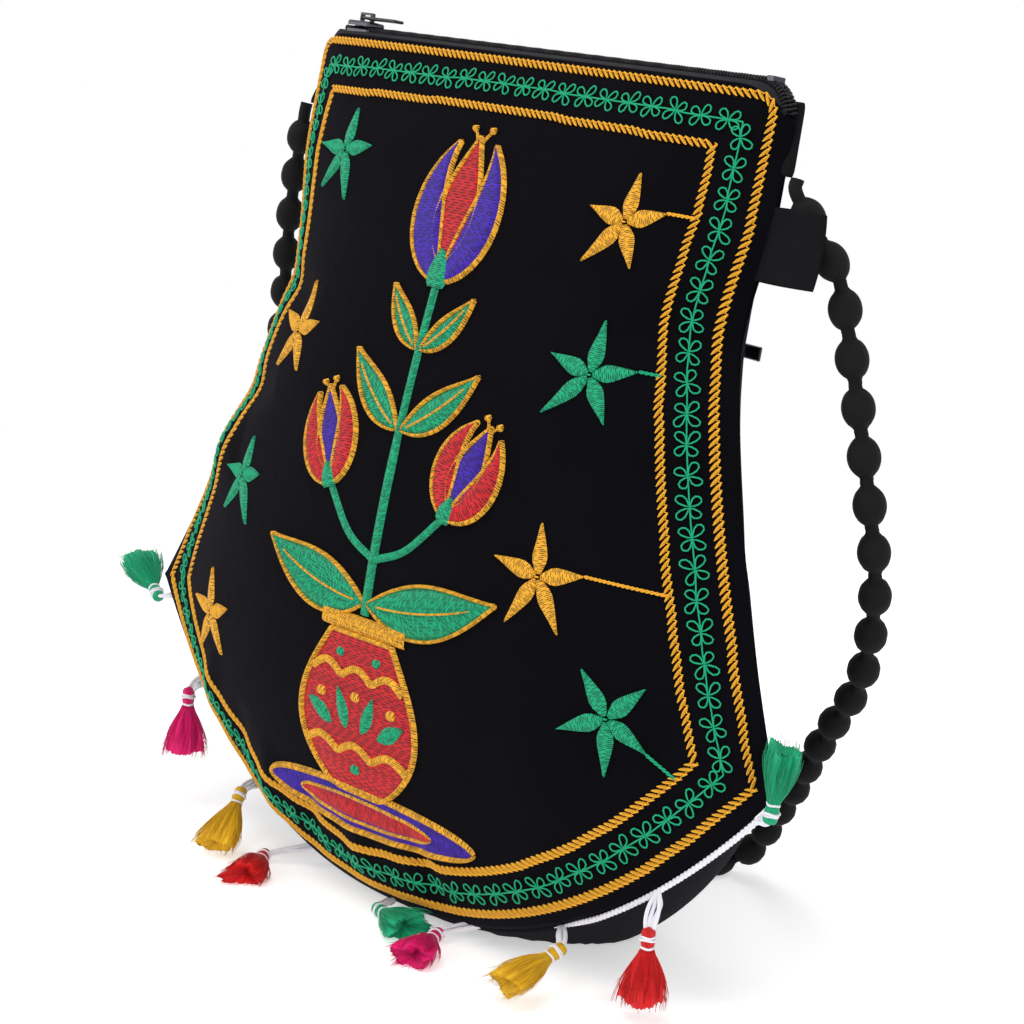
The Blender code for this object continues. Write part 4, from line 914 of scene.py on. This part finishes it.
on_bag(cords("flower_chain_thread", joins, PETAL_THREAD, green_thread), "green_thread")


# Eight stars lie between the border and the spray, gold and green in turn. Each has five kite-shaped arms
# of satin stitch round a small knot, and a twisted thread runs on from one arm to the border.
STARS = {
    "star_right_1": (0.068, 0.2317, [(86, 15.2), (167, 14.2), (229, 18.3), (291, 14.4), (19, 14.2)], True),
    "star_right_2": (0.0689, 0.185, [(88, 17.0), (164, 15.5), (227, 19.1), (302, 16.1), (15, 14.4)], True),
    "star_right_3": (0.0687, 0.1228, [(99, 16.3), (170, 17.5), (241, 18.1), (304, 18.6), (13, 15.8)], True),
    "star_right_4": (0.0990, 0.0867, [(128, 16.2), (49, 15.5), (204, 17.1), (273, 17.5), (331, 15.0)], True),
    "star_left_1": (-0.0690, 0.2390, [(86, 14.2), (177, 17.8), (10, 15.6), (232, 17.3), (295, 18.3)], False),
    "star_left_2": (-0.0709, 0.1769, [(78, 18.2), (20, 14.4), (160, 16.0), (234, 16.3), (298, 14.6)], False),
    "star_left_3": (-0.0860, 0.1249, [(80, 14.0), (176, 15.0), (10, 13.3), (232, 16.9), (304, 18.6)], False),
    "star_left_4": (-0.0969, 0.0746, [(93, 15.7), (169, 16.9), (16, 15.9), (233, 17.1), (313, 17.0)], False),
}
GREEN_STARS = ("star_right_2", "star_right_4", "star_left_1", "star_left_3")
ARM_PROFILE = [0.30, 0.62, 0.90, 1.0, 0.92, 0.77, 0.60, 0.42, 0.22, 0.04]
ARM_HALF_WIDTH = 0.0029
ARM_START = 0.0009
STAR_KNOT = 0.0011
TAIL_THREAD = 0.0003
TAIL_SWING = 0.0003
TAIL_TWIST = 0.9

inner_border = [p for leg in border_legs(INNER_INSET) for p in leg]
for name, (x, z, arms, tailed) in STARS.items():
    finish, satin_finish = (green_thread, green_satin) if name in GREEN_STARS else (gold_thread, gold_satin)
    bm = bmesh.new()
    middle = Vector((x, z))
    for angle, reach in arms:
        out = toward(angle)
        satin(bm, [middle + out * ARM_START, middle + out * reach / 1000],
              [ARM_HALF_WIDTH * part for part in ARM_PROFILE], 0.0008)
    on_bag(into_scene(name + "_satin", mesh_of(bm, name), satin_finish), finish.slot, name)
    threads = [[on_front(x - STAR_KNOT / 2, z, 0.0008), on_front(x + STAR_KNOT / 2, z, 0.0008)]]
    if tailed:
        angle, reach = arms[-1]
        out = toward(angle)
        tip = middle + out * reach / 1000
        heading = out if name == "star_right_4" else Vector((1, 0))
        meets = [meeting(tip, tip + heading * 0.2, a, b) for a, b in zip(inner_border, inner_border[1:])]
        end = tip + heading * min((p - tip).length for p in meets if p is not None)
        turns = max(int((end - tip).length / 0.0004), 4)
        for phase in (0, math.pi):
            strand = []
            for k in range(turns + 1):
                swing = TAIL_SWING * math.sin(k * TAIL_TWIST + phase)
                spot = tip.lerp(end, k / turns) + Vector((-heading.y, heading.x)) * swing
                strand.append(on_front(spot.x, spot.y, 0.0005 + 0.0002 * math.cos(k * TAIL_TWIST + phase)))
            threads.append(strand)
    on_bag(cords(name + "_thread", threads, TAIL_THREAD, finish), finish.slot)


# In the middle stands a folk spray: a banded vase on an oval mat, a stem with leaves, and three tulips. Its
# wide fields are rows of fill stitch, and gold satin runs round most of them.
RED = (0.56, 0.012, 0.018)
PURPLE = (0.045, 0.010, 0.36)
DASH = 0.0042
FILL_RIB = 0.00085
EDGE_HALF = 0.0010
EDGE_CROWN = 0.0011
FILL_CROWN = 0.0006
MAT_MIDDLE = 0.031
MAT_HALF = (0.051, 0.0072)
MAT_RED_SHARE = 0.66
VASE_LOW, VASE_HIGH = 0.037, 0.088
VASE_FOOT, VASE_BELLY, VASE_FLARE = 0.011, 0.016, 0.004
VASE_BAND_HALF = 0.0014
VASE_BAND_WAVE = 0.0035
VASE_LEAF = (0.0135, 0.0031)
RIM_LOW, RIM_HIGH = 0.0885, 0.0945
RIM_ACROSS = 0.0205
RIM_HALF_TALL = 0.0030
STEM_LOW, STEM_HIGH = 0.095, 0.205
BRANCH = [(0, 0.113), (0.014, 0.119), (0.0275, 0.132)]
LEAVES = [(0.099, 12, 0.056), (0.155, 38, 0.036), (0.181, 46, 0.026)]
TOP_TULIP = ((0, 0.203), 90, 0.052)
SIDE_TULIP = ((0.0283, 0.1325), 70, 0.036)

red_fill = thread_finish("red_thread", RED, DASH)
purple_fill = thread_finish("purple_thread", PURPLE, DASH)


def profile(shape, count=24):
    """Half widths along a field, from a function of the share of its length."""
    return [max(shape(k / count), 0.0002) for k in range(count + 1)]


def rounded(half, count=24):
    """Half widths of a round or oval field."""
    return profile(lambda s: half * math.sqrt(max(1 - (2 * s - 1) ** 2, 0)), count)


def leaf_shaped(half, power=0.8):
    """Half widths of a field that is widest a little before its middle and comes to a point."""
    return profile(lambda s: half * math.sin(math.pi * s ** power))


def sides_of(line, halves):
    """The closed outline of a field whose middle line and half widths are given."""
    path = spaced([Vector(p) for p in line], len(halves))
    left, right = [], []
    for k, point in enumerate(path):
        forward = (path[min(k + 1, len(path) - 1)] - path[max(k - 1, 0)]).normalized()
        out = Vector((-forward.y, forward.x)) * halves[k]
        left.append(point + out)
        right.append(point - out)
    return left + right[::-1] + left[:1]


def bent(start, angle, length, bend, count=12):
    """A flat line from start that turns by bend degrees over its length."""
    path = [Vector(start)]
    for k in range(count):
        path.append(path[-1] + toward(angle + bend * (k + 0.5) / count) * length / count)
    return path


def field(bm, line, halves, crown=FILL_CROWN, slant=0.0):
    columns = max(round(2 * max(halves) / 0.0022), 4)
    satin(bm, line, halves, crown, rib=FILL_RIB, columns=columns, slant=slant, rib_height=0.00016)


def edging(bm, outline, half=EDGE_HALF, slant=0.9):
    """Gold satin laid along a line, on top of the field's edge."""
    satin(bm, outline, [0.6 * half] + [half] * 20 + [0.6 * half], EDGE_CROWN, rib=0.0008, columns=4,
          slant=slant, base=0.0003, rib_height=0.00018)


def dot(bm, middle, radius):
    """A round knot of satin."""
    x, z = middle
    satin(bm, [(x - radius, z), (x + radius, z)], rounded(radius), 0.0010, columns=4, base=0.0006)


def oval(half_x, half_z, count=48):
    turns = [math.tau * k / count for k in range(count + 1)]
    return [Vector((half_x * math.cos(turn), MAT_MIDDLE + half_z * math.sin(turn))) for turn in turns]


gold, red, purple, green = (bmesh.new() for _ in range(4))

# The mat: purple round a red middle, each edged with gold.
round_shape = rounded(MAT_HALF[1], 40)
field(purple, [(-MAT_HALF[0], MAT_MIDDLE), (MAT_HALF[0], MAT_MIDDLE)], round_shape)
inner_shape = [0.5 * half for half in round_shape]
red_half = MAT_RED_SHARE * MAT_HALF[0]
satin(red, [(-red_half, MAT_MIDDLE), (red_half, MAT_MIDDLE)], inner_shape, 0.0006,
      rib=FILL_RIB, columns=5, base=0.0007)
edging(gold, oval(*MAT_HALF))
edging(gold, oval(red_half, 0.52 * MAT_HALF[1]), 0.0007)



# The vase, with two waving gold bands, green leaves between them and dots above.
def vase_half(share):
    return VASE_FOOT + VASE_BELLY * math.sin(math.pi * share ** 0.8) + VASE_FLARE * share


vase_shape = profile(vase_half, 30)
vase_line = [(0, VASE_LOW), (0, VASE_HIGH)]
field(red, vase_line, vase_shape)
edging(gold, sides_of(vase_line, vase_shape))


def across_vase(share, wave, count=32):
    """A waving line across the vase at a share of its height."""
    half = 0.97 * vase_half(share)
    z = VASE_LOW + (VASE_HIGH - VASE_LOW) * share
    return [Vector((half * (2 * k / count - 1), z + wave * abs(math.sin(math.pi * 3 * k / count)) - wave / 2))
            for k in range(count + 1)]


for share in (0.27, 0.76):
    band = across_vase(share, VASE_BAND_WAVE)
    satin(gold, band, [VASE_BAND_HALF] * 12, 0.0010, columns=5, base=0.0008, slant=0.4)
for turn in (-62, -21, 21, 62):
    start = (0.19 * turn / 1000, VASE_LOW + 0.0205)
    satin(green, bent(start, 90 - turn, VASE_LEAF[0], 0), leaf_shaped(VASE_LEAF[1]), 0.0008, columns=5,
          base=0.0008, slant=0.6)
for x in (-0.0175, 0, 0.0175):
    dot(gold, (x, VASE_LOW + 0.0315 - abs(x) * 0.1), 0.0021)
for x in (-0.009, 0.009):
    dot(green, (x, VASE_LOW + 0.0445), 0.0019)
dot(green, (0, VASE_LOW + 0.0078), 0.0022)
rim_middle = (RIM_LOW + RIM_HIGH) / 2
satin(gold, [(-RIM_ACROSS, rim_middle), (RIM_ACROSS, rim_middle)], [RIM_HALF_TALL] * 8, 0.0011, columns=6,
      slant=0.5)

# The stem and its leaves, in two slanting halves each, with a gold vein.
satin(green, [(0, STEM_LOW), (0, STEM_HIGH)], [0.0020] * 6 + [0.0016] * 6, 0.0010, slant=0.9)
for side in (-1, 1):
    satin(green, curved([(side * x, z) for x, z in BRANCH], 8), [0.0014] * 6, 0.0009, slant=0.9)
    for low, angle, length in LEAVES:
        line = bent((side * 0.001, low), 90 - side * (90 - angle + 12), length, side * 24)
        leaf = leaf_shaped(0.155 * length, 0.85)
        field(green, line, leaf, 0.0009, slant=0.7)
        edging(gold, sides_of(line, leaf), 0.0006)
        satin(gold, line[1:-2], [0.0005] * 6 + [0.0002], 0.0008, columns=3, base=0.0009, slant=0.9)

# The tulips: a middle petal between two bent ones, a green cup below and two stamens above.
(side_x, side_z), side_angle, side_length = SIDE_TULIP
OTHER_TULIP = ((-side_x, side_z), 180 - side_angle, side_length)
for (x, z), angle, length in (TOP_TULIP, SIDE_TULIP, OTHER_TULIP):
    along = toward(angle)
    outer, inner = (purple, red) if angle == 90 else (red, purple)
    start = Vector((x, z))
    line = bent(start + along * 0.10 * length, angle, 0.80 * length, 0)
    petal = leaf_shaped(0.170 * length, 0.75)
    field(inner, line, petal, 0.0008)
    edging(gold, sides_of(line, petal), 0.0007)
    for side in (-1, 1):
        line = bent(start, angle - side * 52, 0.95 * length, side * 82)
        petal = leaf_shaped(0.135 * length)
        satin(outer, line, petal, 0.0010, rib=FILL_RIB, columns=7, base=0.0006)
        edging(gold, sides_of(line, petal), 0.0008)
        curl = bent(start + along * 0.80 * length, angle - side * 14, 0.17 * length, side * -30)
        satin(gold, curl, [0.0004] * 6, 0.0007, columns=3)
        dot(gold, curl[-1], 0.0012)
    cup = bent(start - along * 0.04 * length, angle, 0.24 * length, 0)
    cup_shape = profile(lambda s: 0.10 * length * math.sin(math.pi * (0.25 + 0.75 * s)))
    satin(green, cup, cup_shape, 0.0012, columns=5, base=0.0012)

for name, bm, finish, replaced in (
        ("spray_gold", gold, gold_satin, ["motif_vase_rim"]),
        ("spray_red", red, red_fill, ["motif_vase", "motif_left_tulip", "motif_right_tulip"]),
        ("spray_purple", purple, purple_fill, ["motif_mat", "motif_top_tulip"]),
        ("spray_green", green, green_satin, ["motif_stem"])):
    on_bag(into_scene(name, mesh_of(bm, name), finish), finish.slot, *replaced)


# Along the bottom seam runs a braid of white yarn. Nine tassels of rayon floss hang from it by loops of the
# same yarn, which also binds their heads.
YARN_WHITE = (0.80, 0.79, 0.85)
BRAID_OUT = 0.0014
BRAID_STRAND = 0.00065
BRAID_TURN = 0.0052
BRAID_TUCK = 0.0034
YARN_STRAND = 0.00068
TASSEL_LENGTH = 0.024
HEAD_RADIUS = 0.0022
NECK_RADIUS = 0.0020
SKIRT_RADIUS = 0.0066
TASSEL_FLATNESS = 0.55
NECK_SHARE = 0.30
SKIRT_STEPS = 30
FLOSS_LINES = 150
FLOSS_LOCKS = 22
LOOSE_STRANDS = 120
FLOSS_STRAND = 0.00011
FLOOR_CLEAR = 0.0005
TASSELS = {
    "tassel_1_green": (-0.96, (-0.0050, -0.0010, -0.0016), (-0.85, 0.20, 0.42)),
    "tassel_2_pink": (-0.80, (-0.0012, -0.0036, -0.0024), (0.10, -0.16, -1.00)),
    "tassel_3_yellow": (-0.54, (0.0008, -0.0052, 0.0000), (0.35, -0.66, -0.62)),
    "tassel_4_red": (-0.31, (-0.0150, -0.0070, -0.0040), (0.62, -0.78, 0.045)),
    "tassel_5_green": (-0.02, (0.0030, -0.0082, 0.0016), (0.97, -0.24, 0.045)),
    "tassel_6_pink": (0.27, (-0.0120, -0.0060, -0.0023), (0.41, -0.91, 0.045)),
    "tassel_7_yellow": (0.49, (0.0090, -0.0050, -0.0012), (-0.08, -0.95, -0.30)),
    "tassel_8_red": (0.74, (0.0020, -0.0054, -0.0092), (0.05, -0.12, -1.00)),
    "tassel_9_green": (0.96, (0.0072, -0.0034, 0.0012), (0.10, 0.16, 1.00)),
}
FLOSS = {"green": (0.004, 0.46, 0.21), "pink": (0.90, 0.004, 0.17), "yellow": (1.0, 0.50, 0.008),
         "red": (0.80, 0.008, 0.010)}

yarn = Finish("white_yarn", YARN_WHITE, 0.85, sheen=0.2)
yarn.around(YARN_WHITE, 0.08, 300)
yarn.bump(yarn.noise(2600, 2), 0.0002, 0.8)


def floss_finish(name, colour):
    """Rayon floss: fine bright strands, with darker lines between them. UV x counts round the tassel."""
    made = Finish(name, colour, 0.42, sheen=0.03)
    made.set("Specular IOR Level", 0.25)
    number = made.uv_numbers()[0]
    fine = made.each_strand(number * FLOSS_LINES)
    lock = made.each_strand(number * FLOSS_LOCKS)
    tone = 0.45 * fine + 0.35 * lock + 0.2 * made.noise(400, 2)
    low = [c * 0.72 for c in colour]
    high = [min(c * 1.2 + 0.01, 1) for c in colour]
    made.set("Base Color", made.tint(tone, low, high))
    made.bump((number * (FLOSS_LINES * math.tau)).of("SINE"), 0.00005, 0.8)
    return made


floss = {colour: floss_finish(colour + "_floss", FLOSS[colour]) for colour in FLOSS}


def seam_point(share, outward):
    """A world point on the bottom seam, at a share of the way to a corner, moved outward."""
    x = share * CORNER_HALF
    slope = bottom_slope(x)
    length = math.hypot(1, slope)
    return bag_frame @ Vector((x + outward * slope / length, 0, bottom_edge(x) - outward / length))


def braid_point(share):
    """The braid lies on the seam at the right corner, and is pressed in under the front elsewhere."""
    tuck = BRAID_TUCK * min(max((0.090 - share * CORNER_HALF) / 0.025, 0), 1)
    return seam_point(share, BRAID_OUT - 0.4 * tuck) + Vector((0, tuck, 0))


braid_line = spaced([braid_point(0.98 * (k / 60 - 1)) for k in range(121)], 900)
braid = []
for strand in range(3):
    path = []
    for k, point in enumerate(braid_line):
        turn = math.tau * (length_of(braid_line[:2]) * k / BRAID_TURN + strand / 3)
        forward = (braid_line[min(k + 1, 899)] - braid_line[max(k - 1, 0)]).normalized()
        side = forward.cross(Vector((0, 1, 0))).normalized()
        swing = side * 0.6 * math.sin(turn) + Vector((0, 1, 0)) * (0.8 + math.sin(2 * turn))
        path.append(point + swing * BRAID_STRAND)
    braid.append(path)
on_bag(cords("braid_of_yarn", braid, BRAID_STRAND, yarn), "white_yarn", "seam_braid")


def tassel_profile(share):
    """Half width at a share of a tassel's length: the head's two bulges, the neck, and the skirt."""
    if share < NECK_SHARE:
        head = HEAD_RADIUS * math.sqrt(min(share / 0.05, 1))
        upper_bind = 0.16 * math.exp(-((share - 0.13) / 0.02) ** 2)
        neck_bind = 0.20 * math.exp(-((share - 0.27) / 0.03) ** 2)
        return head * (1 - upper_bind - neck_bind)
    spread = (share - NECK_SHARE) / 0.70
    neck = NECK_RADIUS * 0.85
    return neck + (SKIRT_RADIUS - neck) * math.sin(0.5 * math.pi * spread ** 0.85)


for number, (name, (share, offset, direction)) in enumerate(TASSELS.items(), 1):
    rng = random.Random(number)
    colour = name.split("_")[-1]
    direction = Vector(direction).normalized()
    start = seam_point(share, BRAID_OUT)
    head = start + Vector(offset)
    hang = braid_point(share)
    turned = direction.to_track_quat("Z", "Y").to_matrix()
    wide, deep = turned.col[0], turned.col[1]
    lobes = [(rng.choice(counts), rng.uniform(0, math.tau), size)
             for counts, size in (((3, 4, 5), 0.10), ((7, 8, 9), 0.06), ((15, 19), 0.035))]
    sway = rng.uniform(-0.10, 0.10)

    def skirt_point(share, turn, inward=1.0):
        ripple = sum(size * math.cos(count * turn + phase) for count, phase, size in lobes)
        ripple = ripple * max(share - NECK_SHARE, 0) / 0.7
        radius = tassel_profile(share) * (1 + 1.6 * ripple) * inward
        flat = 1 - (1 - TASSEL_FLATNESS) * max(share - 0.1, 0) / 0.9
        bow = sway * TASSEL_LENGTH * share ** 2
        place = (head + direction * TASSEL_LENGTH * share + wide * (radius * math.cos(turn) + bow)
                 + deep * radius * flat * math.sin(turn))
        place.z = max(place.z, FLOOR_CLEAR)
        return place

    bm = bmesh.new()
    bmesh.ops.create_grid(bm, x_segments=96, y_segments=SKIRT_STEPS + 3, size=0.5)
    uv = bm.loops.layers.uv.verify()
    for face in bm.faces:
        for loop in face.loops:
            loop[uv].uv = (loop.vert.co.x + 0.5, loop.vert.co.y + 0.5)
    for vert in bm.verts:
        turn = math.tau * (vert.co.x + 0.5)
        step = round((vert.co.y + 0.5) * (SKIRT_STEPS + 3))
        reach = min(step / SKIRT_STEPS, 1)
        ragged = 1 - (0.04 * math.sin(2 * turn + number) + 0.03 * abs(math.sin(31 * turn))) * reach ** 6
        past = max(step - SKIRT_STEPS, 0)
        inward = (1, 0.75, 0.4, 0.02)[past]
        vert.co = skirt_point(max(reach * ragged - 0.05 * past, 0.0), turn, inward)
    bmesh.ops.remove_doubles(bm, verts=bm.verts, dist=0.000002)
    on_bag(into_scene(name + "_skirt", mesh_of(bm, name), floss[colour]), colour + "_floss", name)

    strands = []
    for _ in range(LOOSE_STRANDS):
        turn, loose, far = rng.uniform(0, math.tau), rng.uniform(0.97, 1.32), rng.uniform(0.80, 1.08)
        drift = rng.uniform(-0.4, 0.4)
        strands.append([skirt_point(0.26 + (far - 0.26) * k / 7, turn + drift * (k / 7) ** 2,
                                    1 + (loose - 1) * (k / 7)) for k in range(8)])
    loose = cords(name + "_strands", strands, FLOSS_STRAND, floss[colour], sides=0,
                  radii=[1, 1, 1, 1, 1, 1, 0.9, 0.5])
    on_bag(loose, colour + "_floss")

    wraps = []
    for middle in (0.13, 0.16, 0.27):
        ring = []
        for k in range(24):
            waver = 0.006 * math.sin(3 * math.tau * k / 24 + middle * 40)
            ring.append(skirt_point(middle + waver, math.tau * k / 24, 1.10))
        wraps.append(ring + ring[:1])
    for k in range(4):
        shift = (wide * (k - 1.5) * 0.6 + deep * rng.uniform(-0.5, 0.5)) * 0.0014
        root = hang + (braid_point(share + 0.012) - hang) * (k - 1.5) * 0.20
        bow = Vector((rng.uniform(-1, 1), rng.uniform(-1, 1), rng.uniform(-1, 0.4))) * 0.0011
        target = head + direction * 0.0016 + shift * 0.5
        route = [root, root.lerp(target, 0.35) + bow + shift, root.lerp(target, 0.72) + shift * 0.8,
                 target + direction * 0.0012]
        wraps.append(spaced(curved(route, 6), 14))
    for path in wraps[3:]:
        for point in path:
            point.z = max(point.z, YARN_STRAND)
    ties = cords(f"yarn_loops_{number}", wraps[3:], YARN_STRAND, yarn)
    binding = cords(f"yarn_binding_{number}", wraps[:3], 0.6 * YARN_STRAND, yarn)
    on_bag(ties, "white_yarn", f"yarn_loop_{number}")
    on_bag(binding, "white_yarn")


# A plain pale floor and soft studio light from above and both sides.
def soft_light(name, place, size, power):
    lamp = bpy.data.lights.new(name, "AREA")
    lamp.shape = "DISK"
    lamp.size = size
    lamp.energy = power
    holder = bpy.data.objects.new(name, lamp)
    holder.location = place
    holder.rotation_euler = (Vector((0, 0, 0.12)) - Vector(place)).to_track_quat("-Z", "Y").to_euler()
    bpy.context.scene.collection.objects.link(holder)


soft_light("top_softbox", (0.1, -0.2, 1.5), 1.1, 9)
soft_light("left_softbox", (-1.1, -1.0, 0.9), 0.9, 7.5)
soft_light("right_softbox", (1.3, -0.3, 0.8), 0.9, 6)
soft_light("front_softbox", (0.2, -1.5, 0.35), 0.8, 3)

world = bpy.data.worlds.new("studio")
bpy.context.scene.world = world
world.use_nodes = True
tree = world.node_tree
background = tree.nodes["Background"]
background.inputs["Strength"].default_value = 0.45
background.inputs["Color"].default_value = (1, 1, 1, 1)
white = tree.nodes.new("ShaderNodeBackground")
white.inputs["Color"].default_value = (1, 1, 1, 1)
rays = tree.nodes.new("ShaderNodeLightPath")
seen = rays.outputs["Is Camera Ray"]
for ray in ("Is Transmission Ray", "Is Glossy Ray"):
    either = tree.nodes.new("ShaderNodeMath")
    either.operation = "MAXIMUM"
    tree.links.new(seen, either.inputs[0])
    tree.links.new(rays.outputs[ray], either.inputs[1])
    seen = either.outputs[0]
mixed = tree.nodes.new("ShaderNodeMixShader")
tree.links.new(seen, mixed.inputs[0])
tree.links.new(background.outputs[0], mixed.inputs[1])
tree.links.new(white.outputs[0], mixed.inputs[2])
tree.links.new(mixed.outputs[0], tree.nodes["World Output"].inputs[0])

bm = bmesh.new()
bmesh.ops.create_grid(bm, x_segments=1, y_segments=1, size=6)
paper = Finish("floor_paper", (0.9, 0.9, 0.9), 0.9)
paper.set("Specular IOR Level", 0.1)
paper.set("Emission Color", (1, 1, 1, 1))
paper.set("Emission Strength", 0.45)
sweep = paper.nodes.new("ShaderNodeEmission")
distance = paper.node("ShaderNodeVectorMath", {"operation": "LENGTH"}, {0: paper.place()}, 1)
blend = paper.nodes.new("ShaderNodeMixShader")
paper.links.new(((distance - 0.30) * 2.5).socket, blend.inputs[0])
paper.links.new(paper.shader.outputs[0], blend.inputs[1])
paper.links.new(sweep.outputs[0], blend.inputs[2])
paper.links.new(blend.outputs[0], paper.nodes["Material Output"].inputs[0])
floor = into_scene("floor", mesh_of(bm, "floor"), paper)

bpy.context.scene.view_settings.view_transform = "Standard"
